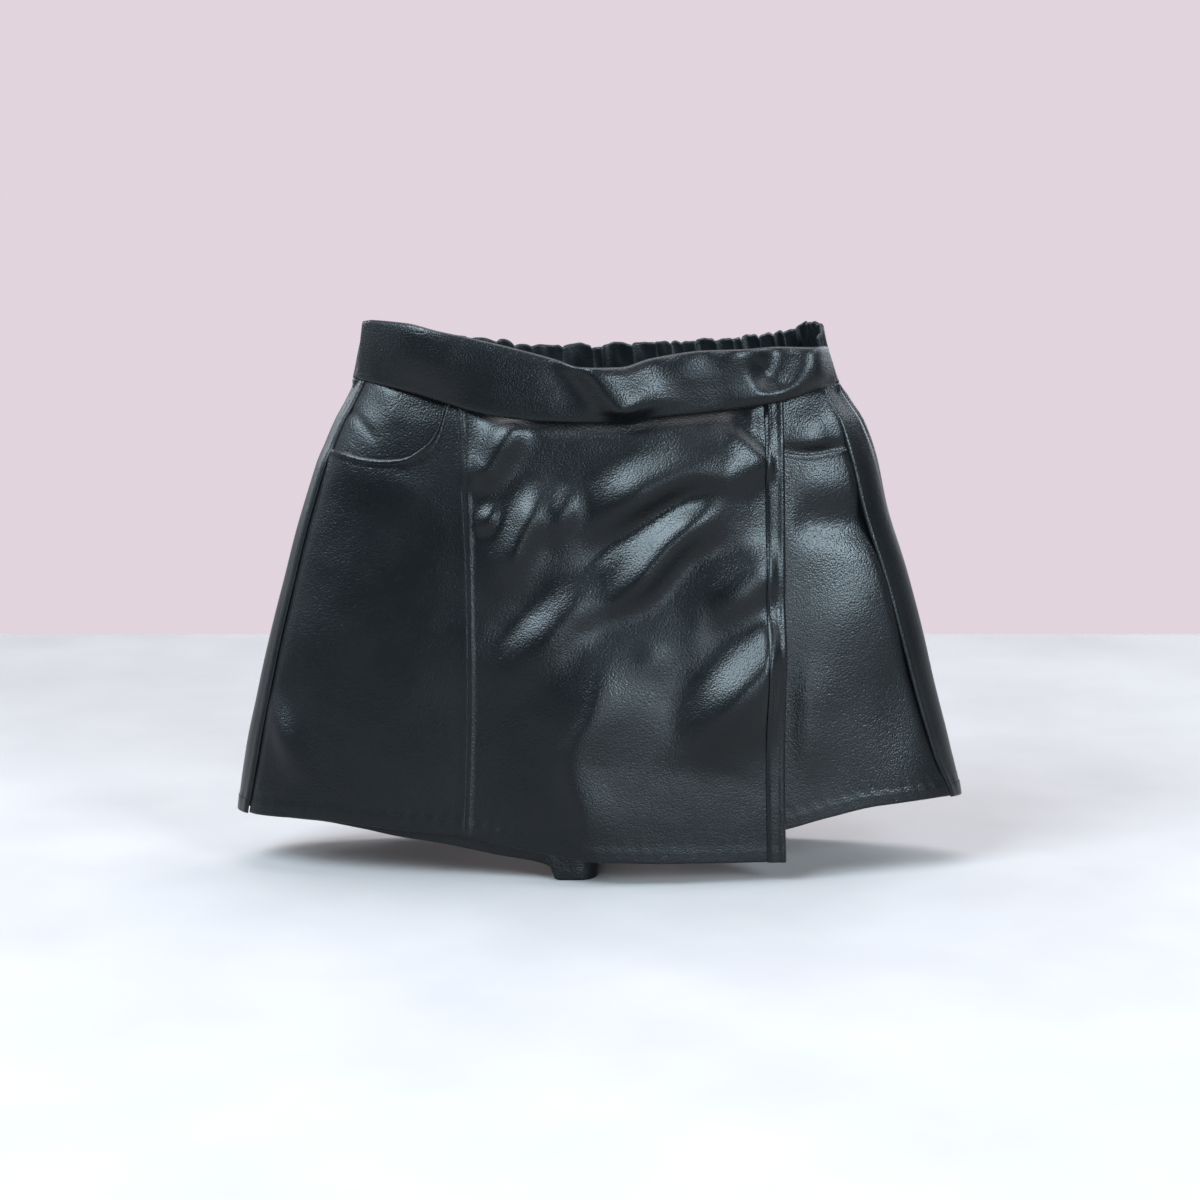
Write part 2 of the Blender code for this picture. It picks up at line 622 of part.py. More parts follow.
def make_back_waistband(finish):
    columns, rows = 132, 3
    from_angle, to_angle = BAND_ENDS[1] - 360.0, BAND_ENDS[0]
    lift_right, lift_left = ELASTIC_END_LIFT
    grid = []
    for row in range(rows + 1):
        up = row / rows
        line = []
        for share in even_shares(from_angle + BAND_END_GAP, to_angle - BAND_END_GAP, BAND_LEVEL, columns):
            angle = mix(from_angle + BAND_END_GAP, to_angle - BAND_END_GAP, share)
            wave = gather(angle)
            z = mix(read(BACK_BAND_BOTTOM, angle), read(BACK_BAND_TOP, angle) + WAVE_TOP_RISE * wave, up)
            point, outward = on_form(angle, z)
            start = WAVE_HEIGHT * wave
            start += lift_right * ease(from_angle + ELASTIC_END_SPAN, from_angle, angle)
            start += lift_left * ease(to_angle - ELASTIC_END_SPAN, to_angle, angle)
            line.append(cloth_pair(point, outward, start, ELASTIC_CLOTH))
        grid.append(line)
    wall("back_waistband", finish, grid)


def main():
    clear_scene()
    leather = material(*BLACK_LEATHER)
    knit = material(*BLACK_KNIT)
    make_front_side_panel(leather)
    make_front_flap_panel(leather)
    make_flap_placket(leather)
    make_pocket_facings(leather)
    make_left_leg_front(leather)
    make_right_leg_front(leather)
    make_leg_backs(leather)
    make_front_waistband(leather)
    make_back_waistband(knit)


main()
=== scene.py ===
# %% [markdown]
# # A toddler's wrap skort in black faux leather
# A skort is a pair of shorts with a skirt front. This one has a wrap-over flap, scooped
# pockets, a smooth waistband in front and a gathered one behind. It stands on its hem.
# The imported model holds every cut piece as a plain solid. This lesson sews a finer
# piece over each one, on the same form, so that nothing has to be fitted afterwards.

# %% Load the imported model
import math

import bpy
import numpy as np
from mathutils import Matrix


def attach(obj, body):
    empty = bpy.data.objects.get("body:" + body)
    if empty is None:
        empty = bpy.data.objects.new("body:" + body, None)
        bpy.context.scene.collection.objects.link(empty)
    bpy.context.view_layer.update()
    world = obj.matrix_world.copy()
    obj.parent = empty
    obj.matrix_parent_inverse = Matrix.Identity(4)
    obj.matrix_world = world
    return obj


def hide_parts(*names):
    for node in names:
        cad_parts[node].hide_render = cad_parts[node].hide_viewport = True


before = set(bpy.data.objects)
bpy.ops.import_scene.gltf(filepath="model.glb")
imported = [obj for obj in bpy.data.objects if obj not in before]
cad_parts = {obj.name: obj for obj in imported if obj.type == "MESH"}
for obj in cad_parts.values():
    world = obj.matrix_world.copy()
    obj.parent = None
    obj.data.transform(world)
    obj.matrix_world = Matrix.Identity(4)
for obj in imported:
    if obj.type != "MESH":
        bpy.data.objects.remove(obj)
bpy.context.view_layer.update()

print("nodes to dress:", ", ".join(sorted(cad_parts)))

# %% [markdown]
# ## The camera
# The camera goes first, so that every later step can be looked at through it. It stands
# far off with a long lens and looks down by ten degrees, as in the photograph. Its aim
# is a point 138 mm above the floor, in the middle of the garment.

# %% Camera
MM = 0.001      # a millimetre in metres
CAMERA_TILT = math.radians(10.0)
CAMERA_DISTANCE = 1500.0
CAMERA_AIM = (0.2, 4.4, 138.0)
FOCAL_PIXELS = 2885.0
IMAGE_PIXELS = 1200.0


def put(name, data):
    """A new object in the scene."""
    made = bpy.data.objects.new(name, data)
    bpy.context.scene.collection.objects.link(made)
    return made


lens = bpy.data.cameras.new("front_camera")
lens.sensor_width = 36.0
lens.lens = lens.sensor_width * FOCAL_PIXELS / IMAGE_PIXELS
lens.clip_start, lens.clip_end = 0.05, 20.0
camera = put("front_camera", lens)
camera.location = (
    CAMERA_AIM[0] * MM,
    (CAMERA_AIM[1] - CAMERA_DISTANCE * math.cos(CAMERA_TILT)) * MM,
    (CAMERA_AIM[2] + CAMERA_DISTANCE * math.sin(CAMERA_TILT)) * MM,
)
camera.rotation_euler = (math.radians(90.0) - CAMERA_TILT, 0.0, 0.0)
bpy.context.scene.camera = camera
print(f"lens {lens.lens:.1f} mm, camera {CAMERA_DISTANCE:.0f} mm away")

# %% [markdown]
# ## Small helpers
# A pattern maker works with a few measured points and a smooth curve through them.
# `read` does that for a table: it never overshoots, so a straight seam stays straight.
# All helpers take whole arrays, because a piece has tens of thousands of points.

# %% Mixing, easing and reading a table
def mix(first, second, share):
    return first + (second - first) * share


def ease(start, end, value):
    """0 up to start, 1 from end on, and a smooth step between them."""
    share = np.clip((value - start) / (end - start), 0.0, 1.0)
    return share * share * (3.0 - 2.0 * share)


def bump(value, middle, half_width):
    """A soft hump of height 1."""
    return np.exp(-(((value - middle) / half_width) ** 2))


def read(table, at, column=1):
    """Read a table between its rows, on a smooth curve that never overshoots."""
    rows = np.array(table, float)
    places, values = rows[:, 0], rows[:, column]
    steps = np.diff(values) / np.diff(places)
    slopes = np.concatenate((steps[:1], np.zeros(len(steps) - 1), steps[-1:]))
    before, after = steps[:-1], steps[1:]
    same_way = before * after > 0.0
    slopes[1:-1][same_way] = 2.0 * (before * after)[same_way] / (before + after)[same_way]
    at = np.clip(at, places[0], places[-1])
    row = np.clip(np.searchsorted(places, at, side="right") - 1, 0, len(steps) - 1)
    span = places[row + 1] - places[row]
    t = (at - places[row]) / span
    rise = 3 * t ** 2 - 2 * t ** 3
    return (mix(values[row], values[row + 1], rise)
            + span * slopes[row] * (t ** 3 - 2 * t ** 2 + t)
            + span * slopes[row + 1] * (t ** 3 - t ** 2))


def unit(vectors):
    return vectors / np.linalg.norm(vectors, axis=-1, keepdims=True)


# %% [markdown]
# ## The hollow form
# The skort keeps the shape of a body that isn't there: wide at the hem, narrow at the
# waist, and flat from front to back. One table gives that form at a few heights. A place
# on it is an angle and a height; the front is at 0 degrees, the right side at 90.

# %% The form
FORM = (
    # height, left, right, front, back
    (0, -188.5, 190.5, 44, 45),
    (30, -186.5, 189.0, 44, 45),
    (60, -182.0, 182.4, 43, 44),
    (90, -175.5, 174.5, 42, 43),
    (120, -168.3, 167.0, 41, 42),
    (150, -160.4, 159.0, 38, 40),
    (185, -150.6, 147.5, 35, 37),
    (216, -140.2, 139.0, 32, 34),
    (232, -133.0, 132.4, 30, 32),
    (243, -126.4, 124.6, 27.5, 30),
    (255, -120.4, 117.0, 25, 28),
    (270, -117.0, 112.0, 24, 27),
    (292, -113.0, 108.0, 23, 26),
)
FORM_FULLNESS = 0.25    # squares off the round of the form towards its sides
OUTLINE_MIDDLE = np.array((-0.2, -4.4, 0.0))


def form(height):
    """Middle, half width, front depth and back depth of the form at a height."""
    left, right, front, back = (read(FORM, height, column) for column in (1, 2, 3, 4))
    return (left + right) / 2, (right - left) / 2, front, back


def on_form(angle, height):
    """The form's points at angles and heights, with their level outward normals."""
    middle, half, front, back = form(height)
    sine, cosine = np.sin(np.radians(angle)), np.cos(np.radians(angle))
    depth = np.where(cosine > 0.0, front, back)
    fullness = 1.0 + FORM_FULLNESS * sine ** 2
    point = np.stack((middle + half * sine, -depth * cosine * fullness,
                      height + 0.0 * angle), -1)
    along_x = half * cosine
    along_y = depth * sine * (fullness - 2.0 * FORM_FULLNESS * cosine ** 2)
    return point, unit(np.stack((along_y, -along_x, 0.0 * along_x), -1))


def front_angle(x, height):
    """The angle of a place on the front that is given by its x."""
    middle, half, _, _ = form(height)
    return np.degrees(np.arcsin(np.clip((x - middle) / half, -1.0, 1.0)))


def front_x(angle, height):
    middle, half, _, _ = form(height)
    return middle + half * np.sin(np.radians(angle))


print("hem half width and depths:", [round(float(v), 1) for v in form(0.0)[1:]])

# %% [markdown]
# ## Layers, seams and edges
# Faux leather is a millimetre or so thick, and here up to four layers lie on each other.
# Each layer has its own distance out of the form, so that none cuts through the next.
# Seams that run down are tables of a height and an x; edges that run across are tables
# of an x and a height.

# %% Layers, seams and edges
CLOTH = 1.5
FACING_CLOTH = 1.1
BAND_CLOTH = 2.4
ELASTIC_CLOTH = 2.0
GAP = 0.3
LAYER_ROOM = 0.6
FACING_LIFT = CLOTH + LAYER_ROOM
WRAP_LIFT = FACING_LIFT + FACING_CLOTH + LAYER_ROOM
PLACKET_LIFT = WRAP_LIFT + CLOTH + LAYER_ROOM
ON_LEG = CLOTH + LAYER_ROOM
ON_FACING = FACING_LIFT + FACING_CLOTH + GAP
ON_FLAP = WRAP_LIFT + CLOTH + LAYER_ROOM
ON_PLACKET = PLACKET_LIFT + CLOTH + LAYER_ROOM
SEAM_ALLOWANCE = 6.0
FACING_DEPTH = 10.0
FACING_HEM_LIMIT = 217.0
RIGHT_FACING_START = 73.0
PLACKET_WIDTH = 9.6
SIDE_SEAM_GAP = 0.04    # degrees

LEFT_SIDE_SEAM = ((0, 0.972), (29, 0.962), (65, 0.955), (160, 0.960), (211, 0.962), (232, 0.965),
                  (256, 0.970))
RIGHT_SIDE_SEAM = ((0, 0.975), (38, 0.965), (60, 0.945), (98, 0.932), (150, 0.920), (216, 0.912),
                   (238, 0.925), (256, 0.950))
PRINCESS_SEAM = ((10, -69.5), (51, -67.5), (110, -66.3), (158, -67.0), (221, -70.0), (252, -71.0))
FLAP_EDGE = ((0, 94.8), (50, 93.4), (145, 92.7), (212, 91.9), (255, 91.0))
BAND_BOTTOM = ((-126, 255.5), (-107, 252.0), (-95, 249.6), (-80, 245.9), (-61, 240.6), (-40, 236.8),
               (-20, 235.3), (10, 234.9), (24, 237.3), (50, 240.2), (89, 246.0), (101, 250.0),
               (118, 252.4))
BAND_TOP = ((-122, 281.5), (-114, 284.5), (-98, 283.9), (-80, 280.2), (-55, 275.0), (-35, 270.2),
            (-20, 266.2), (-11, 263.5), (10, 263.3), (25, 267.0), (52, 271.0), (91, 272.0),
            (109, 271.6), (118, 268.5))
WRAP_HEM = ((-184, 28.7), (-146, 29.9), (-123, 28.3), (-102, 26.4), (-69, 23.9), (-49, 19.7),
            (-16, 15.0), (1, 12.8), (51, 11.2), (95, 10.5))
LEFT_LEG_HEM = ((-184, 28.8), (-146, 28.4), (-123, 25.6), (-103, 21.9), (-82, 19.0), (-53, 13.3),
                (-26, 7.7), (-23, 0.6), (-21, 0.0))
RIGHT_LEG_HEM = ((20, 14.0), (60, 19.0), (96, 26.0), (117, 31.4), (144, 36.4), (174, 37.6),
                 (184, 37.0))
LEFT_SCOOP = ((-138, 219.8), (-127, 218.0), (-118, 216.0), (-108, 215.2), (-101, 215.7),
              (-96, 217.0), (-90.5, 220.4), (-84.7, 225.2), (-80.2, 232.8), (-77, 243.0),
              (-74.5, 249.8), (-66, 248.6))
RIGHT_SCOOP = ((0, 241.0), (40, 245.0), (74, 249.5), (77, 243.0), (80, 234.0), (84.5, 226.0),
               (90, 220.5), (96, 218.2), (105, 217.4), (118, 218.7), (134, 220.6))
LEFT_BACK_HEM = ((-180, 0.0), (-156, 0.0), (-150, 2.2), (-132, 11.0), (-112, 21.0), (-90, 27.5),
                 (-70, 29.0))
RIGHT_BACK_HEM = ((-293, 37.6), (-270, 34.5), (-252, 29.5), (-236, 23.5), (-220, 14.0), (-207, 4.0),
                  (-202, 0.0), (-180, 0.0))
BACK_BAND_BOTTOM = ((-295, 250.4), (-283, 251.9), (-270, 251.5), (-240, 247.0), (-207, 241.0),
                    (-180, 238.5), (-153, 240.5), (-125, 246.5), (-100, 252.4), (-82, 254.0),
                    (-72, 252.9))
BACK_BAND_TOP = ((-283, 276.0), (-266, 281.0), (-258, 281.5), (-240, 276.0), (-229, 274.0),
                 (-220, 272.0), (-207, 270.4), (-190, 268.8), (-180, 267.4), (-164, 267.6),
                 (-153, 270.8), (-135, 273.0), (-111, 277.5), (-96, 281.0), (-82, 281.5))


def left_side_angle(height):
    return -np.degrees(np.arcsin(read(LEFT_SIDE_SEAM, height)))


def right_side_angle(height):
    return np.degrees(np.arcsin(read(RIGHT_SIDE_SEAM, height)))


def down_front(table, shift=0.0):
    """An edge that runs down the front, as an angle at a height."""
    return lambda z: front_angle(read(table, z) + shift, z)


def across_front(table):
    """An edge that runs across the front, as a height at an x."""
    return lambda x: read(table, x)


def behind_band(x):
    return read(BAND_BOTTOM, x) + SEAM_ALLOWANCE


print(f"layers lie {FACING_LIFT:.1f}, {WRAP_LIFT:.1f} and {PLACKET_LIFT:.1f} mm out of the form")

# %% [markdown]
# ## Creases
# Cloth that is pulled between two points buckles into long soft ridges. A cloth
# simulation would make some, but not these ones, so each crease is drawn as a short
# path on the panel. It swells and dies away along its path, and its two flanks may
# have different widths, because a fold that leans has one steep side.

# %% Creases
def smooth_path(points, steps=6):
    """Points along a smooth curve that passes through all the given ones."""
    points = np.array(points, float)
    if len(points) < 3:
        return points
    padded = np.vstack((2 * points[0] - points[1], points, 2 * points[-1] - points[-2]))
    found = [points[0]]
    for a, b, c, d in zip(padded, padded[1:], padded[2:], padded[3:]):
        for step in range(1, steps + 1):
            t = step / steps
            found.append(0.5 * (2 * b + (c - a) * t + (2 * a - 5 * b + 4 * c - d) * t ** 2
                                + (3 * b - a - 3 * c + d) * t ** 3))
    return np.array(found)


def crease(x, z, path, left_width, right_width, height, fade_in=0.4, fade_out=0.4):
    """One ridge along a path. Its left and right are those of someone who walks along it."""
    points = smooth_path(path)
    lengths = np.linalg.norm(np.diff(points, axis=0), axis=1)
    nearest, side, along = np.full(x.shape, 1e9), np.zeros(x.shape), np.zeros(x.shape)
    done = 0.0
    for (x0, z0), (x1, z1), length in zip(points, points[1:], lengths):
        run_x, run_z = x1 - x0, z1 - z0
        t = np.clip(((x - x0) * run_x + (z - z0) * run_z) / length ** 2, 0.0, 1.0)
        off_x, off_z = x - x0 - t * run_x, z - z0 - t * run_z
        distance = np.hypot(off_x, off_z)
        here = distance < nearest
        nearest = np.where(here, distance, nearest)
        side = np.where(here, run_x * off_z - run_z * off_x, side)
        along = np.where(here, (done + t * length) / lengths.sum(), along)
        done += length
    width = np.where(side > 0.0, left_width, right_width)
    swell = ease(0.0, fade_in, along) * ease(1.0, 1.0 - fade_out, along)
    return height * swell * np.exp(-((nearest / width) ** 2))


def creases(table, x, z):
    return sum(crease(x, z, *row) for row in table)


def ripple(x, z, wavelength, seed):
    """Faint unevenness of soft cloth: a few waves that cross each other."""
    total = 0.0
    for turn in range(7):
        way = math.tau * ((seed * 0.37 + turn * 0.618034) % 1.0)
        pace = math.tau / wavelength * (0.75 + 0.09 * turn)
        total += np.sin(pace * (x * math.cos(way) + z * math.sin(way)) + 2.4 * turn + seed)
    return total / 7.0


# a row says: path through (x, z), width on its left, width on its right, height, and the
# shares of the path over which it fades in and out, which are 0.4 where they are left out
FLAP_CREASES = (
    (((88, 204), (76, 208), (62, 210), (46, 211), (30, 206), (15, 197), (2, 186), (-9, 172)),
     13, 14, 8.8, 0.25, 0.4),
    (((66, 201), (50, 200), (36, 194), (21, 185), (7, 176), (-6, 165), (-20, 152)),
     6.5, 9, -3, 0.3, 0.35),
    (((76, 199), (62, 193), (50, 186), (37, 175), (26, 163), (17, 151), (7, 139), (-2, 127)),
     12, 10.5, 8.4, 0.35, 0.4),
    (((4, 158), (-4, 150), (-14, 141), (-26, 128), (-38, 113), (-54, 92)),
     12, 11, 4.4, 0.3, 0.6),
    (((60, 188), (50, 176), (38, 162), (26, 148), (12, 138), (-2, 131), (-16, 128)),
     10, 8, -3, 0.3, 0.4),
    (((-20, 154), (-35, 142), (-50, 126), (-61, 112)), 7, 9, -1.6),
    (((58, 238), (65, 230), (74, 222), (83, 213), (88, 203)), 4, 9, 2.6, 0.3, 0.4),
    (((72, 204), (70, 187), (67, 166)), 9, 8, 1.5, 0.4, 0.5),
    (((77, 248), (76, 236), (78, 222)), 3.5, 3.5, 1.1, 0.3, 0.5),
    (((98, 170), (87, 162), (74, 153), (61, 142), (49, 128)), 14, 15, 6.2, 0.35, 0.5),
    (((46, 150), (49, 132), (47, 112)), 6, 7, 1, 0.5, 0.5),
    (((108, 136), (95, 123), (82, 110), (70, 97), (58, 83), (48, 70), (42, 56)),
     19, 15, 13.5, 0.22, 0.55),
    (((24, 130), (29, 104)), 8, 8, 1, 0.5, 0.5),
    (((40, 124), (38, 95), (40, 66)), 14, 12, -1.6, 0.5, 0.5),
    (((-6, 128), (-1, 106), (-3, 89), (-10, 76), (-15, 65), (-13, 53), (-8, 41), (-6, 26), (-6, 2)),
     14, 7, 2.6, 0.25, 0.3),
    (((-38, 250), (-43, 236), (-49, 223), (-57, 211), (-69, 200)), 8, 9, 5.4, 0.2, 0.3),
    (((-50, 197), (-55, 188), (-62, 176)), 5, 5, 2.6, 0.5, 0.5),
    (((-23, 210), (-31, 194), (-38, 180), (-44, 166), (-52, 146)), 9, 8.5, 6),
    (((-10, 210), (-16, 196), (-20, 185), (-28, 170)), 8, 7.5, 4, 0.5, 0.5),
)
SIDE_PANEL_CREASES = (
    (((-146, 217), (-122, 211), (-105, 205), (-91, 199), (-74, 200)), 8, 12, 1.3, 0.35, 0.3),
    (((-166, 98), (-160, 74), (-153, 46)), 6, 6, 2.6, 0.5, 0.5),
    (((-125, 140), (-118, 95), (-110, 50)), 18, 18, 0.6, 0.5, 0.5),
)
RIGHT_LEG_CREASES = (
    (((80, 204), (112, 201), (144, 206)), 11, 14, 1, 0.3, 0.3),
    (((80, 186), (118, 182), (154, 180)), 13, 10, -2.4, 0.3, 0.3),
    (((168, 156), (136, 142), (100, 112)), 20, 18, 1.3, 0.25, 0.5),
    (((104, 130), (104, 92), (98, 46)), 20, 11, 1.9, 0.5, 0.4),
    (((148, 128), (150, 92), (156, 50)), 14, 14, -1.5, 0.5, 0.5),
)
LEFT_FACING_CREASES = (
    (((-108, 262), (-105, 246), (-101, 228)), 6, 6, 0.9, 0.2, 0.4),
    (((-133, 244), (-121, 234), (-111, 221)), 2.6, 2.2, -0.6, 0.3, 0.3),
)
RIGHT_FACING_CREASES = (
    (((126, 256), (118, 242), (110, 229), (103, 214)), 12, 12, 1.9, 0.2, 0.25),
)
print(len(FLAP_CREASES) + len(SIDE_PANEL_CREASES) + len(RIGHT_LEG_CREASES), "creases in front")

# %% [markdown]
# ## Finishes
# Faux leather is a thin plastic skin, pressed with a pebbled grain, on a knitted backing.
# The grain is too fine to model, so it is a bump: small rounded cells with grooves between
# them. Where a fold turns to the light, it breaks the shine into specks.
# The skin is a little paler on its worn edges, which carry a `wear` value.

# %% A helper for materials
class Finish:
    """A material with a Principled shader, and short ways to add nodes to it."""

    def __init__(self, name, colour, roughness, specular=0.5):
        self.material = bpy.data.materials.new(name)
        self.material.use_nodes = True
        self.tree = self.material.node_tree
        self.shader = self.tree.nodes["Principled BSDF"].inputs
        self.shader["Base Color"].default_value = (*colour, 1.0)
        self.shader["Roughness"].default_value = roughness
        self.shader["Specular IOR Level"].default_value = specular
        self.join = self.tree.links.new
        self.place = self.add("TexCoord").outputs["Object"]

    def add(self, kind, **values):
        node = self.tree.nodes.new("ShaderNode" + kind)
        for key, value in values.items():
            if key in node.inputs:
                node.inputs[key].default_value = value
            else:
                setattr(node, key, value)
        return node

    def texture(self, kind, place=None, **values):
        """A texture that is fixed to the object, unless another place is given."""
        node = self.add(kind, **values)
        self.join(place or self.place, node.inputs["Vector"])
        return node

    def relief(self, height, depth, strength, below=None, **values):
        """A bump of some millimetres, on top of the one below."""
        node = self.add("Bump", Distance=depth * MM, Strength=strength, **values)
        self.join(height, node.inputs["Height"])
        if below:
            self.join(below, node.inputs["Normal"])
        return node.outputs["Normal"]

    def scaled(self, source, from_low, from_high, to_low, to_high):
        """Turn a value between two limits into one between two others."""
        node = self.add("MapRange", clamp=True, **{
            "From Min": from_low, "From Max": from_high, "To Min": to_low, "To Max": to_high})
        self.join(source, node.inputs["Value"])
        return node.outputs["Result"]

    def colour_by(self, share, first, second):
        """Colour the shader with a mix of two colours."""
        shade = self.add("Mix", data_type="RGBA", A=(*first, 1.0), B=(*second, 1.0))
        self.join(share, shade.inputs["Factor"])
        self.join(shade.outputs["Result"], self.shader["Base Color"])


# %% Faux leather
GRAIN_PER_METRE = 1050.0        # cells of the pebbled grain
GRAIN_SHIFT = 0.7 * MM          # how far its cells are pushed about
LEATHER_COLOUR = (0.0008, 0.0015, 0.0020)
WORN_COLOUR = (0.006, 0.008, 0.009)


def faux_leather(name, roughness, grain_depth):
    """Pebbles with fine pores on them, an uneven shine, and paler worn edges."""
    finish = Finish(name, LEATHER_COLOUR, roughness, specular=0.30)
    wobble = finish.texture("TexNoise", Scale=420.0, Detail=2.0)
    shifted = finish.add("VectorMath", operation="MULTIPLY_ADD")
    shifted.inputs[1].default_value = (GRAIN_SHIFT, GRAIN_SHIFT, GRAIN_SHIFT)
    finish.join(wobble.outputs["Color"], shifted.inputs[0])
    finish.join(finish.place, shifted.inputs[2])
    cells = finish.texture("TexVoronoi", shifted.outputs["Vector"],
                           feature="SMOOTH_F1", Scale=GRAIN_PER_METRE, Smoothness=0.35)
    pores = finish.texture("TexNoise", Scale=3200.0, Detail=2.0)
    broad = finish.texture("TexNoise", Scale=26.0, Detail=3.0)

    dome = finish.add("Math", operation="POWER")
    finish.join(cells.outputs["Distance"], dome.inputs[0])
    dome.inputs[1].default_value = 1.8
    pebbles = finish.relief(dome.outputs["Value"], grain_depth, 0.9, invert=True)
    fine = finish.relief(pores.outputs["Fac"], 0.008, 0.6, below=pebbles)
    finish.join(fine, finish.shader["Normal"])

    wear = finish.add("Attribute", attribute_name="wear").outputs["Fac"]
    finish.colour_by(finish.scaled(wear, 0.0, 1.0, 0.0, 0.8), LEATHER_COLOUR, WORN_COLOUR)
    uneven = finish.scaled(broad.outputs["Fac"], 0.3, 0.7, roughness - 0.04, roughness + 0.05)
    finish.join(uneven, finish.shader["Roughness"])
    return finish.material


leather = faux_leather("faux_leather_black", roughness=0.34, grain_depth=0.135)
gathered_leather = faux_leather("elastic_casing_black", roughness=0.44, grain_depth=0.07)

# %% [markdown]
# The back of the cloth is a matt black knit. Its rows of loops are a wave texture, and
# it scatters light softly, so it has a little sheen and hardly any shine. Only the two
# waistbands have leather inside as well, because each is a folded strip.

# %% Knitted backing and thread
def knit_backing():
    finish = Finish("knit_backing_black", (0.0040, 0.0045, 0.0052), 0.85, specular=0.15)
    finish.shader["Sheen Weight"].default_value = 0.08
    loops = finish.texture("TexWave", wave_type="BANDS", bands_direction="Z",
                           Scale=620.0, Distortion=1.6, Detail=1.0)
    fuzz = finish.texture("TexNoise", Scale=1500.0, Detail=2.0)
    rows = finish.relief(loops.outputs["Fac"], 0.06, 0.5)
    fluff = finish.relief(fuzz.outputs["Fac"], 0.08, 0.6, below=rows)
    finish.join(fluff, finish.shader["Normal"])
    return finish.material


def sewing_thread():
    finish = Finish("thread_black", (0.008, 0.009, 0.010), 0.7, specular=0.12)
    twist = finish.texture("TexWave", bands_direction="DIAGONAL", Scale=900.0,
                           Distortion=0.4)
    finish.join(finish.relief(twist.outputs["Fac"], 0.05, 0.6), finish.shader["Normal"])
    return finish.material


backing = knit_backing()
thread = sewing_thread()
print("finishes:", ", ".join(material.name for material in bpy.data.materials))

# %% [markdown]
# ## From a grid of places to a piece of cloth
# Every piece is a grid of places on the form. The cloth's outer face lies out along the
# level normal, and its inner face a cloth's thickness further in. Near a turned edge
# both faces round towards each other, so that an edge is rolled and not cut with a
# knife. Columns and rows stand close together there, and wider apart inside.

# %% Spacing rows and columns
EDGE_STEPS = (0.0, 0.12, 0.35, 0.7, 1.15, 1.8, 2.6, 3.6)    # distances from an edge
THINNEST_EDGE = 0.10    # share of the cloth's thickness that is left at a turned edge


def shares(length, pitch):
    """Shares of a length, at an even pitch but closer together at both ends."""
    edge = np.array(EDGE_STEPS)
    inside = np.linspace(edge[-1], length - edge[-1], max(2, int(round(length / pitch))))
    return np.concatenate((edge[:-1], inside, length - edge[-2::-1])) / length


def run_along(points, axis):
    """Distance of each point from the start of its row or column."""
    steps = np.linalg.norm(np.diff(points, axis=axis), axis=-1)
    start = np.zeros_like(np.take(steps, [0], axis=axis))
    return np.concatenate((start, np.cumsum(steps, axis=axis)), axis=axis)


def edge_distances(points):
    """How far each point of a grid lies from its left, right, lower and upper edge."""
    across, up = run_along(points, 1), run_along(points, 0)
    return across, across[:, -1:] - across, up, up[-1:, :] - up


def rounding(distances, radii):
    """1 inside a piece, falling to almost 0 at its turned edges along a quarter circle."""
    factor = np.ones(distances[0].shape)
    for distance, radius in zip(distances, radii):
        if radius:
            share = np.clip(distance / radius, 0.0, 1.0)
            factor = np.minimum(factor, np.sqrt(1.0 - (1.0 - share) ** 2))
    return np.maximum(factor, THINNEST_EDGE)


# %% [markdown]
# The mesh is a closed shell: the outer face and a narrow rim in leather, and the inner
# face in knit or in a lining. `bmesh` could build it face by face, but a shell of a known
# grid is simple enough to write down as one list of points and one of faces.

# %% Making a shell
outer_faces = {}    # outer grid of each piece, for the stitches


def ride_on_model(name, mesh):
    """Put a mesh in the scene. The garment is one body, so every piece rides on its root."""
    piece = put(name, mesh)
    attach(piece, "root")
    return piece


def shell(name, inner, outer, wear, slot="faux_leather", skin=None, lining=None):
    """A closed shell between two grids of points in millimetres."""
    rows, columns = outer.shape[:2]
    count = rows * columns
    index = np.arange(count).reshape(rows, columns)
    a, b, c, d = index[:-1, :-1], index[:-1, 1:], index[1:, 1:], index[1:, :-1]
    outside = np.stack((a, b, c, d), -1).reshape(-1, 4)
    inside = np.stack((a, d, c, b), -1).reshape(-1, 4) + count
    ring = np.concatenate((index[0, :-1], index[:-1, -1], index[-1, :0:-1], index[:0:-1, 0]))
    following = np.roll(ring, -1)
    rim = np.stack((following, ring, ring + count, following + count), -1)
    faces = np.concatenate((outside, rim, inside))
    points = np.concatenate((outer.reshape(-1, 3), inner.reshape(-1, 3))) - OUTLINE_MIDDLE

    mesh = bpy.data.meshes.new(name)
    mesh.from_pydata((points * MM).tolist(), [], faces.tolist())
    mesh.materials.append(skin or leather)
    mesh.materials.append(lining or backing)
    on_inside = np.zeros(len(faces), np.int32)
    on_inside[-len(inside):] = 1
    mesh.polygons.foreach_set("material_index", on_inside)
    worn = mesh.attributes.new("wear", "FLOAT", "POINT")
    worn.data.foreach_set("value", np.tile(wear.reshape(-1), 2).astype(np.float32))
    mesh.shade_smooth()
    mesh.validate()
    outer_faces[name] = outer
    print(f"{name}: {2 * len(faces)} triangles")
    return ride_on_model(name, mesh)


def lay(name, point, outward, lift, cloth, radii, flat_inside=False, **finish):
    """Lay a cloth of some thickness on the form, with turned edges."""
    distances = edge_distances(point)
    half = cloth / 2.0 * rounding(distances, radii)
    middle = lift + (half if flat_inside else cloth / 2.0)
    inner = point + outward * (middle - half)[..., None]
    outer = point + outward * (middle + half)[..., None]
    wear = np.clip(1.4 - 1.6 * half / (cloth / 2.0), 0.0, 1.0)
    return shell(name, inner, outer, wear, **finish)


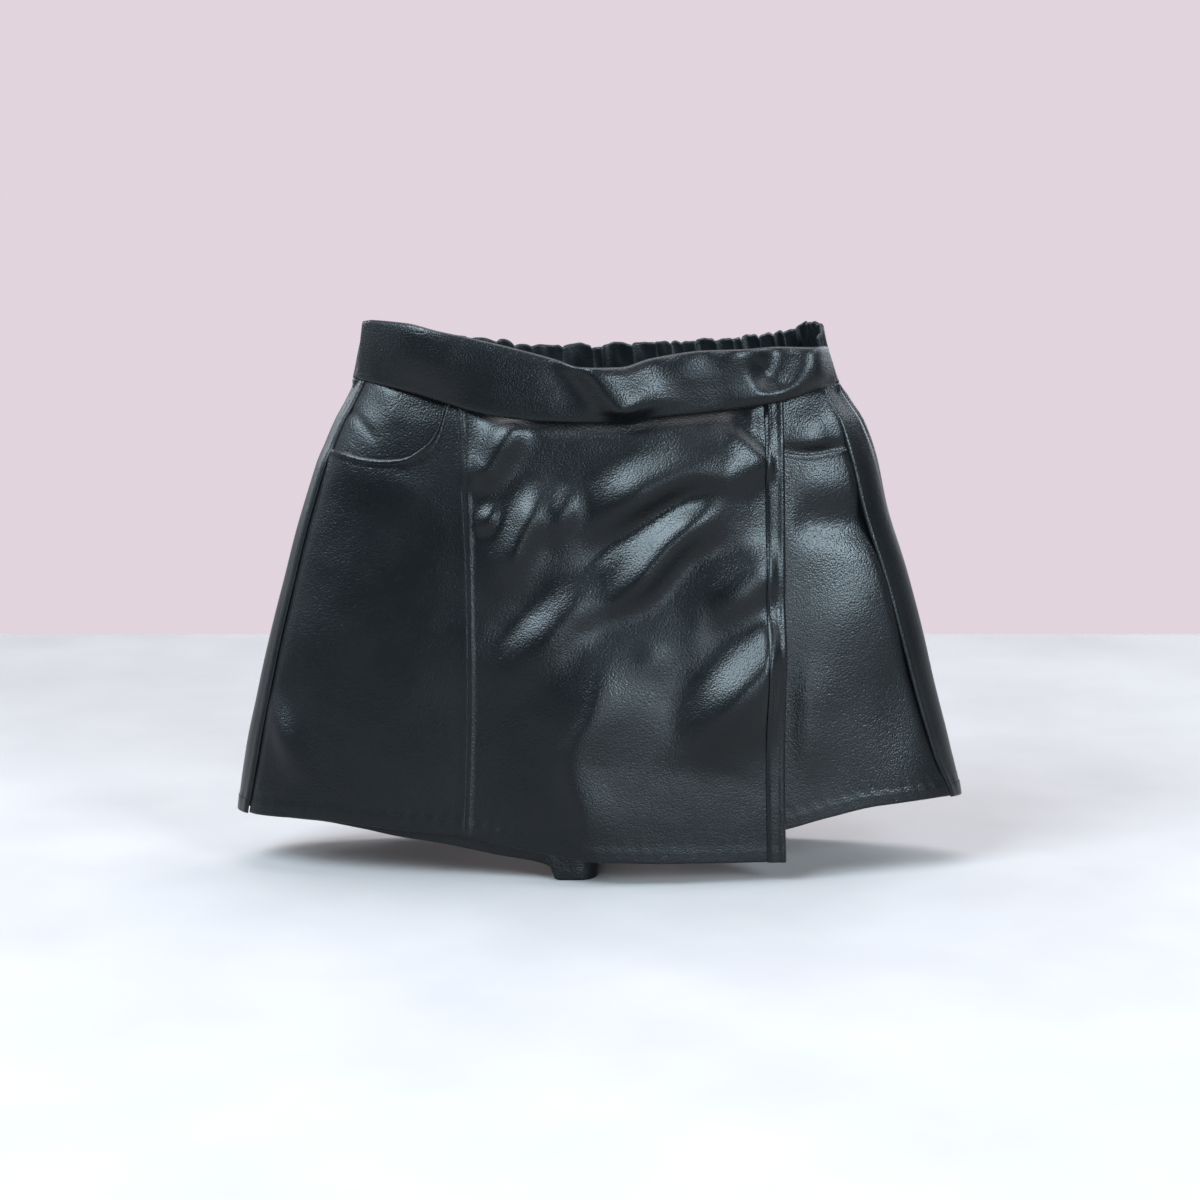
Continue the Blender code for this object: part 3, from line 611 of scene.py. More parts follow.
# %% [markdown]
# A turned-up hem is two layers thick up to its stitches, and the stitches pull a fine
# groove with small puckers beside it. `hem_relief` gives that relief for any edge, from
# the distance to the edge and the distance along it. `front_grid` finds the places of a
# panel between its four edges. A height depends on x and x depends on the height, so it
# goes back and forth between them until they agree.

# %% Hems and grids
HEM_DEPTH = 8.0
TOPSTITCH = 3.2
ROUNDS = 12     # times that the places of a grid are found again


def hem_relief(from_edge, along, depth=HEM_DEPTH):
    doubled = 0.32 * ease(depth + 2.0, depth - 1.2, from_edge)
    groove = -0.16 * bump(from_edge, depth, 0.9)
    pucker = 0.12 * np.sin(along * math.tau / 7.3 + 1.7 * np.sin(along / 23.0))
    return doubled + groove + pucker * bump(from_edge, depth, 3.4)


def front_grid(edges, up, across):
    """A panel between its left, right, lower and upper edges: x, z, points and normals.

    `up` and `across` are each a length and a pitch.
    """
    left, right, lower, upper = edges
    up, across = np.meshgrid(shares(*up), shares(*across), indexing="ij")
    z = mix(lower(np.zeros(up.shape)), upper(np.zeros(up.shape)), up)
    for _ in range(ROUNDS):
        x = front_x(mix(left(z), right(z), across), z)
        z = mix(lower(x), upper(x), up)
    return x, z, *on_form(front_angle(x, z), z)


# %% [markdown]
# ## The wrap-over front
# The side panel, the flap and the placket are sewn together, so they share one surface.
# It lies on the facing and the leg, stands off a little below the waist, and carries the
# creases. The waistband holds the cloth flat, so they fade out there, and the flap dips
# inwards just below it.

# %% The wrap-over's shared surface
SEAM_LINE = 0.04     # half the gap at a sewn seam
BELLY_X = -8.0
BELLY_HEIGHT = 7.2
BAND_DIP = 1.8
FLAP_STAND_OFF = ((-72, 0.0), (-30, 2.2), (30, 2.8), (70, 2.2), (96, 1.2))


def wrap_surface(x, z):
    """Inner face of the wrap-over front."""
    stand_off = read(FLAP_STAND_OFF, x) * ease(242.0, 222.0, z)
    free = ease(-5.0, 5.0, read(BAND_BOTTOM, x) - z)
    firm = 1.0 - 0.6 * ease(81.0, 92.0, x)
    folds = free * firm * (creases(FLAP_CREASES, x, z) + creases(SIDE_PANEL_CREASES, x, z))
    folds = folds + 0.30 * ripple(x, z, 46.0, 1.0) + 0.10 * ripple(x, z, 17.0, 4.0)
    stand_off += 1.6 * bump(z, 229.0, 12.0) * ease(-68.0, -50.0, x) * ease(80.0, 60.0, x)
    belly = bump(x, BELLY_X, np.where(x > BELLY_X, 66.0, 26.0)) * ease(140.0, 84.0, z)
    stand_off += BELLY_HEIGHT * belly
    over_facing = ease(180.0, 193.0, z) * ease(-52.0, -64.0, x)
    dip = bump(z - read(BAND_BOTTOM, x), -1.0, 4.0) * ease(-66.0, -52.0, x) * ease(76.0, 60.0, x)
    stand_off -= BAND_DIP * dip
    lowest = mix(CLOTH + GAP, WRAP_LIFT - 0.2, over_facing)
    return np.maximum(WRAP_LIFT + stand_off + folds, lowest)


# %% Side panel
def make_side_panel():
    edges = (left_side_angle, down_front(PRINCESS_SEAM, -SEAM_LINE),
             across_front(WRAP_HEM), across_front(LEFT_SCOOP))
    x, z, point, outward = front_grid(edges, up=(200.0, 1.7), across=(110.0, 1.3))
    from_left, from_right, from_hem, from_mouth = edge_distances(point)
    lift = wrap_surface(x, z) + hem_relief(from_hem, from_left)
    gape = bump(x, -84.0, 13.0) * ease(-70.0, -76.0, x)
    lift += (0.8 + 1.4 * gape) * bump(from_mouth, 0.8, 2.8)
    lift -= 0.30 * bump(from_mouth, TOPSTITCH, 0.6)
    lift = lift - 0.9 * bump(from_left, 0.0, 3.0) - 0.15 * bump(from_right, 0.0, 0.5)
    return lay("front_side_panel", point, outward, lift, CLOTH, (0.9, 0.0, 1.1, 1.0))


side_panel = make_side_panel()
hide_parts("front_side_panel")


# %% Flap
def make_flap():
    edges = (down_front(PRINCESS_SEAM, SEAM_LINE), down_front(FLAP_EDGE),
             across_front(WRAP_HEM), behind_band)
    x, z, point, outward = front_grid(edges, up=(232.0, 1.3), across=(163.0, 1.2))
    from_left, _, from_hem, _ = edge_distances(point)
    lift = wrap_surface(x, z) + hem_relief(from_hem, from_left)
    puffed = bump(z, 200.0, 32.0)
    lift += (0.7 + 0.3 * puffed) * bump(from_left, 1.6 + 1.0 * puffed, 1.1 + 0.8 * puffed)
    lift -= 0.15 * bump(from_left, 0.0, 0.5)
    return lay("front_flap_panel", point, outward, lift, CLOTH, (0.0, 0.9, 1.1, 0.9))


flap = make_flap()
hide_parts("front_flap_panel")


# %% Placket
PLACKET_STITCH = 2.8    # distance of its stitches from its inner edge


def make_placket():
    edges = (down_front(FLAP_EDGE, -PLACKET_WIDTH), down_front(FLAP_EDGE),
             across_front(WRAP_HEM), behind_band)
    x, z, point, outward = front_grid(edges, up=(232.0, 1.3), across=(PLACKET_WIDTH, 0.6))
    from_left, from_right, from_hem, _ = edge_distances(point)
    lift = wrap_surface(x, z) + PLACKET_LIFT - WRAP_LIFT + hem_relief(from_hem, from_left)
    lift = lift + 0.6 * bump(from_right, 1.6, 1.6) - 0.45 * bump(from_left, 0.0, 1.6)
    lift -= 0.12 * bump(from_left, PLACKET_STITCH, 0.5)
    return lay("flap_placket", point, outward, lift, CLOTH, (2.6, 1.6, 1.0, 0.9), flat_inside=True)


placket = make_placket()
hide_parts("flap_placket")


# %% Pocket facings
def facing_edge(scoop):
    return lambda x: np.minimum(read(scoop, x) - FACING_DEPTH, FACING_HEM_LIMIT)


def make_left_facing():
    edges = (left_side_angle, down_front(PRINCESS_SEAM, -CLOTH),
             facing_edge(LEFT_SCOOP), behind_band)
    x, z, point, outward = front_grid(edges, up=(46.0, 1.3), across=(66.0, 1.3))
    clear_of_band = ease(-1.0, 4.0, read(BAND_BOTTOM, x) - z)
    open_pocket = ease(0.0, 6.0, z - read(LEFT_SCOOP, x)) * clear_of_band
    lift = FACING_LIFT + open_pocket * creases(LEFT_FACING_CREASES, x, z)
    return lay("pocket_facing_left", point, outward, lift, FACING_CLOTH, (0.6, 0.6, 0.6, 0.6))


def make_right_facing():
    edges = (lambda z: front_angle(RIGHT_FACING_START + 0.0 * z, z), right_side_angle,
             facing_edge(RIGHT_SCOOP), behind_band)
    x, z, point, outward = front_grid(edges, up=(44.0, 1.3), across=(54.0, 1.3))
    above_mouth = z - read(RIGHT_SCOOP, x)
    clear_of_band = ease(-1.0, 5.0, read(BAND_BOTTOM, x) - z)
    lift = clear_of_band * ease(0.0, 7.0, above_mouth) * creases(RIGHT_FACING_CREASES, x, z)
    lift = lift - FACING_CLOTH - LAYER_ROOM - 1.0 * clear_of_band * bump(above_mouth, 0.0, 4.0)
    lift += 1.5 * ease(9.0, 0.5, edge_distances(point)[1])
    return lay("pocket_facing_right", point, outward, lift, FACING_CLOTH, (0.6, 0.6, 0.6, 0.6))


left_facing = make_left_facing()
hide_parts("pocket_facing_left")
right_facing = make_right_facing()
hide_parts("pocket_facing_right")

# %% [markdown]
# ## The shorts
# Each leg has a front and a back. A piece starts at the side seam, runs round the leg's
# broad face and turns in along the inner thigh, where it meets its partner in an inseam.
# Above the crotch there is no thigh, so all four pieces end at the middle seam there.
# The turn is a path in the level plane: straight, round a corner, and straight inwards.

# %% The inner thigh
CROTCH = 50.0
CROTCH_RISE = 16.0
LEG_GAP = 1.2
THIGH_ROUND = 9.0
THIGH_COLUMNS = 27
TURN_FROM = 14.0
RIGHT_THIGH_HEM = 7.0
LEFT_LIFT_END = -102.0
POCKET_MOUTH_STEP = (210.0, 222.0)
WAIST_HEIGHT = 255.0


def turn_angle(side, behind, z):
    angle = front_angle(side * TURN_FROM, z)
    return side * 180.0 - angle if behind else angle


def crotch_share(z):
    """How far a piece has turned in along the inner thigh: its edge there is the crotch seam."""
    return np.where(z <= CROTCH, 1.0, 1.0 - np.sqrt(np.clip((z - CROTCH) / CROTCH_RISE, 0.0, 1.0)))


def on_thigh(side, behind, share, z):
    """Points and outward normals at shares of the way in along the inner thigh."""
    seam_top = CROTCH + CROTCH_RISE
    inward = -1.0 if behind else 1.0
    face_y = on_form(np.full(z.shape, 180.0 if behind else 0.0), z)[0][..., 1]
    start = on_form(turn_angle(side, behind, z), z)[0]
    room = SEAM_LINE + CLOTH * ease(seam_top + 4.0, seam_top - 2.0, z)
    room += LEG_GAP * ease(CROTCH, 0.0, z)
    radius = np.where(z >= seam_top, 0.0, mix(0.5, THIGH_ROUND, ease(seam_top, CROTCH - 30.0, z)))
    corner_x = side * (room + radius)
    face = np.abs(start[..., 0] - corner_x)
    arc = radius * math.pi / 2
    wall = np.where(z >= seam_top, 0.0, np.abs(face_y) - radius - SEAM_LINE)
    distance = share * mix(face, face + arc + wall, crotch_share(z))

    def at(distance):
        on_face = np.clip(distance / face, 0.0, 1.0)
        x = mix(start[..., 0], corner_x, on_face)
        y = mix(start[..., 1], face_y, on_face)
        turn = np.clip((distance - face) / np.maximum(arc, 1e-6), 0.0, 1.0) * math.pi / 2
        x -= side * radius * np.sin(turn)
        y += inward * radius * (1.0 - np.cos(turn))
        y += inward * np.maximum(distance - face - arc, 0.0) * (wall > 0.0)
        return np.stack((x, y, z), -1)

    way = at(distance + 0.2) - at(distance - 0.2)
    turn = -side if behind else side
    outward = np.stack((-way[..., 1], way[..., 0], 0.0 * way[..., 0]), -1) * turn
    return at(distance), unit(outward)


# %% One leg piece
def leg_places(side, behind, hem, top, thigh_hem, columns, rows):
    """Grid of a leg's piece, with the thigh's columns last: angle, x, z, points and normals.

    The second result is 1 on the leg's broad face and 0 on its thigh.
    """
    side_angle = right_side_angle if side > 0 else left_side_angle
    clear_of_seam = side * SIDE_SEAM_GAP if behind else 0.0
    width, height = 195.0, 235.0
    along = shares(width, width / columns)
    along = along[along <= 1.0 - 3.0 / width]
    along = np.append(along, 1.0)
    if behind:
        along = 1.0 - (1.0 - along) * (1.0 + 0.12 * along)
    up, share = np.meshgrid(shares(height, height / rows), along, indexing="ij")
    z = WAIST_HEIGHT * up
    for _ in range(ROUNDS):
        angle = mix(side_angle(z) + clear_of_seam, turn_angle(side, behind, z), share)
        x = front_x(angle, z)
        z = mix(hem(angle, x), top(angle, x), up)
    point, outward = on_form(angle, z)
    turn_hem, turn_top = hem(angle, x)[:, -1:], top(angle, x)[:, -1:]
    turned = np.append(np.linspace(0.0, 1.0, THIGH_COLUMNS)[1:-1], (0.985, 1.0))[None, :]
    thigh_z = mix(mix(turn_hem, thigh_hem, turned), turn_top, up[:, :1])
    thigh_point, thigh_outward = on_thigh(side, behind, turned + 0.0 * thigh_z, thigh_z)
    grid = (np.concatenate((angle, angle[:, -1:] + 0.0 * thigh_z), 1),
            np.concatenate((x, x[:, -1:] + 0.0 * thigh_z), 1),
            np.concatenate((z, thigh_z), 1),
            np.concatenate((point, thigh_point), 1),
            np.concatenate((outward, thigh_outward), 1))
    on_face = np.concatenate((np.ones(z.shape), np.zeros(thigh_z.shape)), 1)
    return grid, on_face


print("crotch seam from", CROTCH, "to", CROTCH + CROTCH_RISE, "mm")

# %% Leg fronts
def make_left_leg_front():
    (_, _, z, point, outward), _ = leg_places(
        -1, False, lambda angle, x: read(LEFT_LEG_HEM, x), lambda angle, x: behind_band(x),
        thigh_hem=0.0, columns=95, rows=120)
    from_side, _, from_hem, _ = edge_distances(point)
    lift = 0.0 * z + hem_relief(from_hem, from_side)
    return lay("left_leg_front", point, outward, lift, CLOTH, (0.8, 0.7, 0.9, 0.0))


def make_right_leg_front():
    (_, x, z, point, outward), on_face = leg_places(
        1, False, lambda angle, x: read(RIGHT_LEG_HEM, x), lambda angle, x: read(RIGHT_SCOOP, x),
        thigh_hem=RIGHT_THIGH_HEM, columns=130, rows=150)
    from_side, _, from_hem, from_mouth = edge_distances(point)
    shows = ease(94.0, 108.0, x) * on_face
    lift = shows * (creases(RIGHT_LEG_CREASES, x, z) + 0.2 * ripple(x, z, 40.0, 2.0))
    lift += hem_relief(from_hem, from_side)
    mouth = 0.35 * bump(from_mouth, 0.8, 3.0) - 0.10 * bump(from_mouth, TOPSTITCH, 0.7)
    lift += shows * mouth
    lift -= 0.9 * bump(from_side, 0.0, 2.6) * ease(0.0, 20.0, from_hem)
    return lay("right_leg_front", point, outward, lift, CLOTH, (0.8, 0.7, 0.9, 1.0))


left_leg_front = make_left_leg_front()
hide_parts("left_leg_front")
right_leg_front = make_right_leg_front()
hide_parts("right_leg_front")

# %% [markdown]
# ## Gathers
# A back waistband is longer than the waist, and its elastic pulls it into small puffs.
# Each puff is round on top and sharp where two meet, and the puffs are uneven. Below the
# band the same gathers open out into soft folds of the seat, and die away.

# %% Gathers
BAND_ENDS = (-82.0, 77.0)     # the front waistband, in degrees
BAND_END_GAP = 0.04           # degrees
BAND_LEVEL = 260.0
WAVE_HEIGHT = 2.8
WAVE_TOP_RISE = 1.6
NOTCH_DEPTH = 1.5
SEAT_FOLDS = 15
SEAT_FOLD_HEIGHT = 3.2
SEAT_FOLD_FADE = 100.0
NOTCHES = (-283, -278.5, -271, -266.5, -258, -253.5, -246, -238.5, -234, -228,
           -221.5, -218.5, -213, -207, -203, -200, -195.5, -189.5, -181.8, -179,
           -171.5, -163, -158.5, -153.5, -144.5, -139, -130, -125.5, -117, -111,
           -106.5, -98, -92.5, -87, -82)
from_angle, to_angle = NOTCHES[0], NOTCHES[-1]


def gather(angle):
    """Uneven puffs of the elastic between its notches: 0 at a notch, up to 1 between two."""
    notches = np.array(NOTCHES)
    puff = np.clip(np.searchsorted(notches, angle) - 1, 0, len(notches) - 2)
    width = notches[puff + 1] - notches[puff]
    share = np.clip((angle - notches[puff]) / width, 0.0, 1.0)
    leaning = share ** (1.0 + 0.35 * np.sin(2.3 * puff))
    height = np.minimum(1.0, (width / 7.5) ** 0.7) * (0.76 + 0.24 * np.sin(3.7 * puff + 1.0))
    ends = ease(from_angle, from_angle + 8.0, angle) * ease(to_angle, to_angle - 8.0, angle)
    return height * ends * np.maximum(4.0 * leaning * (1.0 - leaning), 0.0) ** 0.45


def band_lift(angle, up, z):
    """How far the elastic band lies out of the form."""
    flat = mix(ease(6.5, 10.0, np.abs(angle + 180.0)), 1.0, ease(0.0, 0.5, up))
    lift = WAVE_HEIGHT * gather(angle) * (0.75 + 0.25 * np.sin(math.pi * up))
    uneven = 0.5 * ripple(angle * 2.2, 0.4 * z, 8.0, 6.0)
    lift += uneven * ease(from_angle + 4.0, from_angle + 24.0, angle)
    at_ends = ON_LEG * ease(from_angle + 25.0, from_angle, angle)
    return flat * lift + at_ends + ON_FACING * ease(to_angle - 25.0, to_angle, angle)


def seat_fold(angle, z):
    """The gathers' folds in the seat: deepest at the waistband, then dying out."""
    around = (angle + 270.0) / 180.0
    below = read(BACK_BAND_BOTTOM, angle) - z
    reach = SEAT_FOLD_FADE * (0.75 + 0.25 * np.sin(9.0 * math.pi * around + 0.4))
    fade = ease(reach, 0.0 * reach, below) * ease(-0.10, 0.06, around) * ease(1.08, 0.94, around)
    clear_of_seam = ease(5.0, 11.0, np.abs(angle + 180.0))
    wave = 0.5 + 0.5 * np.sin(math.tau * SEAT_FOLDS * around + 0.7 * np.sin(5.0 * math.pi * around))
    close = 0.9 * bump(below, 0.0, 16.0) * gather(angle)
    return clear_of_seam * (SEAT_FOLD_HEIGHT * fade * wave + close)


BACK_CREASES = (
    (((-124, 216), (-96, 190), (-68, 174)), 9, 8, 2.2),
    (((-152, 160), (-120, 141), (-84, 130)), 11, 9, 2.6),
    (((-62, 150), (-52, 108), (-58, 60)), 13, 12, 2),
    (((-104, 112), (-112, 72), (-107, 36)), 10, 12, 2.4),
    (((-36, 96), (-21, 76), (-6, 66)), 7, 8, -1.7),
    (((-160, 94), (-157, 62), (-161, 32)), 7, 7, 1.7),
    (((116, 212), (92, 186), (62, 178)), 8, 9, 2.3),
    (((154, 148), (118, 136), (78, 116)), 9, 11, 2.4),
    (((46, 152), (56, 104), (50, 58)), 12, 11, 1.9),
    (((106, 110), (98, 74), (107, 40)), 11, 10, 2.6),
    (((32, 94), (23, 78), (6, 67)), 7, 7, -1.7),
    (((148, 98), (156, 66), (157, 46)), 7, 8, 1.6),
)


# %% Leg backs
def round_left(angle):
    return np.where(angle < 0.0, angle, angle - 360.0)


def back_top(angle, x):
    return read(BACK_BAND_BOTTOM, round_left(angle)) - SEAM_LINE


def make_back(name, side, hem, thigh_hem, beside):
    (angle, x, z, point, outward), on_face = leg_places(
        side, True, hem, back_top, thigh_hem, columns=150, rows=140)
    angle = round_left(angle)
    from_side, _, from_hem, _ = edge_distances(point)
    below_band = read(BACK_BAND_BOTTOM, angle) - z
    lift = on_face * seat_fold(angle, z) + beside(angle, z) + hem_relief(from_hem, from_side)
    away_from_seams = ease(0.0, 12.0, from_side) * ease(8.0, 24.0, below_band)
    lift += on_face * away_from_seams * creases(BACK_CREASES, x, z)
    uneven = 0.25 * ripple(x, z, 44.0, 3.0 + side)
    lift += on_face * (uneven + 0.45 * bump(from_side, 1.8, 2.0))
    at_band = ease(5.0, 0.5, below_band) * ease(from_angle, from_angle + 4.0, angle)
    at_band *= ease(to_angle, to_angle - 4.0, angle)
    lift = mix(lift, band_lift(angle, 0.0, z) + 0.25, on_face * at_band)
    return lay(name, point, outward, lift, CLOTH, (1.1, 0.7, 0.9, 0.9))


def beside_front(angle, z):
    """The left back comes out to meet the wrap-over and the facing at the side seam."""
    level = mix(WRAP_LIFT, FACING_LIFT, ease(*POCKET_MOUTH_STEP, z))
    return level * ease(LEFT_LIFT_END, left_side_angle(z), angle)


back_left = make_back("back_left", -1, lambda angle, x: read(LEFT_BACK_HEM, angle),
                      0.0, beside_front)
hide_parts("back_left")
back_right = make_back("back_right", 1, lambda angle, x: read(RIGHT_BACK_HEM, round_left(angle)),
                       RIGHT_THIGH_HEM, lambda angle, z: 0.0 * z)
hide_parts("back_right")

# %% [markdown]
# ## The front waistband
# A straight strip, folded along its middle and sewn to the panels' tops. Folded cloth
# doesn't lie flat: it is puffy, its fold at the top is round, and its lower edge rolls
# out over the flap and throws a deep shadow. It has stretched a little, so it sags.

# %% Front waistband
BAND_LIFT = ((-126, ON_FACING), (-112, ON_FACING), (-76, ON_FLAP), (52, ON_FLAP), (74, ON_PLACKET),
             (102, ON_PLACKET), (110, ON_LEG + 3.0), (118, ON_LEG))
BAND_BULGE = (
    # share of the height, distance out of the form: it leans back, the band doesn't
    (0.0, 0.8), (0.12, 2.2), (0.35, 4.2), (0.65, 5.6), (0.85, 5.8), (1.0, 5.0),
)
BAND_CREASES = (
    (((-16, 278), (-5, 264), (3, 252), (11, 240), (18, 229)), 18, 8.5, 9.4, 0.1, 0.3),
    (((-28, 268), (-18, 254), (-8, 239)), 8, 8, -0.8),
    (((40, 284), (42, 266), (48, 244)), 14, 9, 1.5, 0.1, 0.5),
    (((66, 284), (67, 272), (70, 258)), 12, 9, 2, 0.1, 0.5),
    (((71, 253), (82, 259), (88, 268), (90, 284)), 9, 9, -5.2, 0.35, 0.1),
    (((52, 243), (72, 246), (87, 250), (97, 258), (103, 268), (108, 284)), 6, 9.5, 3, 0.45, 0.1),
    (((-82, 278), (-74, 258), (-70, 240)), 14, 12, 0.7),
)


def make_front_band():
    up, across = np.meshgrid(shares(34.0, 1.0), shares(250.0, 1.15), indexing="ij")
    angle = mix(*BAND_ENDS, across)
    x = front_x(angle, BAND_LEVEL)
    z = mix(read(BAND_BOTTOM, x), read(BAND_TOP, x), up)
    point, outward = on_form(angle, z)
    clear_of_sides = ease(-118.0, -84.0, x) * ease(118.5, 96.0, x)
    over_flap = ease(-72.0, -50.0, x) * ease(88.0, 60.0, x)
    lift = read(BAND_LIFT, x) + clear_of_sides * read(BAND_BULGE, up)
    lift += over_flap * mix(2.4, 1.4, up)
    lift += creases(BAND_CREASES, x, z) * ease(-0.05, 0.25, up)
    lift += 3.0 * up * ease(-54.0, -80.0, x)
    lift = lift + 0.5 * np.sin(math.pi * up) ** 0.8 + 0.2 * ripple(x, z, 30.0, 5.0)
    return lay("front_waistband", point, outward, lift, BAND_CLOTH, (0.8, 0.8, 2.4, 1.5),
               lining=leather)


front_band = make_front_band()
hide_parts("front_waistband")


# %% Back waistband
BACK_BAND_COLUMNS = 560


def make_back_band():
    up, across = np.meshgrid(shares(32.0, 1.3), np.linspace(0.0, 1.0, BACK_BAND_COLUMNS),
                             indexing="ij")
    angle = mix(from_angle + BAND_END_GAP, to_angle - BAND_END_GAP, across)
    wave = gather(angle)
    top = read(BACK_BAND_TOP, angle) + 0.6 * ripple(angle * 2.2, 0.0, 6.0, 3.0)
    top += WAVE_TOP_RISE * wave
    top -= NOTCH_DEPTH * (0.65 + 0.35 * np.sin(0.9 * angle)) * (1.0 - wave) ** 2
    z = mix(read(BACK_BAND_BOTTOM, angle), top, up)
    point, outward = on_form(angle, z)
    return lay("back_waistband", point, outward, band_lift(angle, up, z), ELASTIC_CLOTH,
               (0.6, 0.6, 1.0, 1.3), slot="elastic_casing", skin=gathered_leather,
               lining=gathered_leather)


back_band = make_back_band()
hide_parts("back_waistband")

# %% [markdown]
# ## Topstitching
# A row of black thread runs beside every hem, pocket mouth and lap. It could be a dashed
# bump, but from close by a stitch is a little bridge of thread that dives into the skin at
# both ends, so each one is a short bent tube. A line of stitches is found on the finished
# outer face, at a fixed distance from one of its edges.

# %% A line on the outer face
STITCH_PITCH = 2.5
STITCH_LENGTH = 2.0
THREAD_RADIUS = 0.17
THREAD_SIDES = 6
STITCH_ARCH = (-0.16, 0.06, 0.12, 0.06, -0.16)      # heights along a stitch, over the skin


def facing_way(grid):
    """Outward normals of an outer face."""
    return unit(np.cross(np.gradient(grid, axis=1), np.gradient(grid, axis=0)))


def line_beside(name, edge, inset):
    """Points and normals on a piece's outer face, at a distance from one of its edges."""
    grid = outer_faces[name]
    normals = facing_way(grid)
    if edge in ("left", "right"):
        grid, normals = grid.transpose(1, 0, 2), normals.transpose(1, 0, 2)
    if edge in ("right", "upper"):
        grid, normals = grid[::-1], normals[::-1]
    run = run_along(grid, 0)
    row = np.clip((run < inset).sum(axis=0) - 1, 0, len(grid) - 2)
    column = np.arange(grid.shape[1])
    share = ((inset - run[row, column]) / (run[row + 1, column] - run[row, column]))[:, None]
    return (mix(grid[row, column], grid[row + 1, column], share),
            unit(mix(normals[row, column], normals[row + 1, column], share)))


# %% Sewing along lines
def stitches(name, lines, ends):
    """One mesh of all the stitches along some lines, each a bent tube of thread."""
    sides, steps = THREAD_SIDES, len(STITCH_ARCH)
    points, faces = [], []
    turn = np.arange(sides) * math.tau / sides
    for line, normals in lines:
        run = np.concatenate(([0.0], np.cumsum(np.linalg.norm(np.diff(line, axis=0), axis=1))))
        for start in np.arange(ends, run[-1] - ends - STITCH_LENGTH, STITCH_PITCH):
            at = start + STITCH_LENGTH * np.linspace(0.0, 1.0, steps)
            centre = np.stack([np.interp(at, run, line[:, k]) for k in range(3)], -1)
            up = unit(np.stack([np.interp(at, run, normals[:, k]) for k in range(3)], -1))
            along = unit(np.gradient(centre, axis=0))
            side = np.cross(along, up)
            round_side = np.cos(turn)[None, :, None] * side[:, None]
            round_up = np.sin(turn)[None, :, None] * up[:, None]
            ring = (centre + up * np.array(STITCH_ARCH)[:, None])[:, None]
            ring = ring + THREAD_RADIUS * (round_side + round_up)
            base = len(points)
            points.extend((ring.reshape(-1, 3) - OUTLINE_MIDDLE) * MM)
            for a in range(base, base + (steps - 1) * sides, sides):
                b = a + sides
                for k, next_k in zip(range(sides), (*range(1, sides), 0)):
                    faces.append((a + k, a + next_k, b + next_k, b + k))
            faces.append(tuple(base + k for k in reversed(range(sides))))
            faces.append(tuple(base + (steps - 1) * sides + k for k in range(sides)))
    mesh = bpy.data.meshes.new(name)
    mesh.from_pydata([tuple(point) for point in points], [], faces)
    mesh.materials.append(thread)
    mesh.shade_smooth()
    print(f"{name}: {len(points) // (sides * steps)} stitches")
    ride_on_model(name, mesh)


STITCHED = (
    # name, piece, distance from each stitched edge, bare length at both ends of a row
    ("stitches_side_panel", "front_side_panel", {"lower": HEM_DEPTH, "upper": TOPSTITCH}, 4.0),
    ("stitches_flap", "front_flap_panel", {"lower": HEM_DEPTH}, 4.0),
    ("stitches_placket", "flap_placket", {"left": PLACKET_STITCH, "lower": HEM_DEPTH}, 1.0),
    ("stitches_right_leg", "right_leg_front", {"lower": HEM_DEPTH, "upper": TOPSTITCH}, 4.0),
    ("stitches_left_leg", "left_leg_front", {"lower": HEM_DEPTH}, 4.0),
    ("stitches_back_left", "back_left", {"lower": HEM_DEPTH}, 4.0),
    ("stitches_back_right", "back_right", {"lower": HEM_DEPTH}, 4.0),
)
for name, piece, insets, ends in STITCHED:
    stitches(name, [line_beside(piece, edge, inset) for edge, inset in insets.items()], ends)

# %% [markdown]
# ## Floor and light
# A plain pale floor and a plain pale world. The skin is so dark that nearly all that
# shows is its shine, so the lamps are large and soft. Two at the left and one at the
# right draw the streaks on the folds, and small ones low down light the edges. A broad
# one hangs overhead, and dim ones stand at the sides and behind for the other views.

# %% Floor
FLOOR_HALF_WIDTH = 1.5      # metres, as in all of this step
FLOOR_HALF_DEPTH = 0.64
FLOOR_COLOURS = ((0.276, 0.250, 0.245), (0.314, 0.286, 0.280))


def make_floor():
    mesh = bpy.data.meshes.new("floor")
    corners = [(x * FLOOR_HALF_WIDTH, y * FLOOR_HALF_DEPTH, 0.0)
               for x, y in ((-1, -1), (1, -1), (1, 1), (-1, 1))]
    mesh.from_pydata(corners, [], [(0, 1, 2, 3)])
    finish = Finish("pale_floor", FLOOR_COLOURS[0], 0.75)
    cloud = finish.texture("TexNoise", Scale=9.0, Detail=5.0)
    finish.colour_by(finish.scaled(cloud.outputs["Fac"], 0.3, 0.7, 0.0, 1.0), *FLOOR_COLOURS)
    mesh.materials.append(finish.material)
    floor = put("floor", mesh)


make_floor()

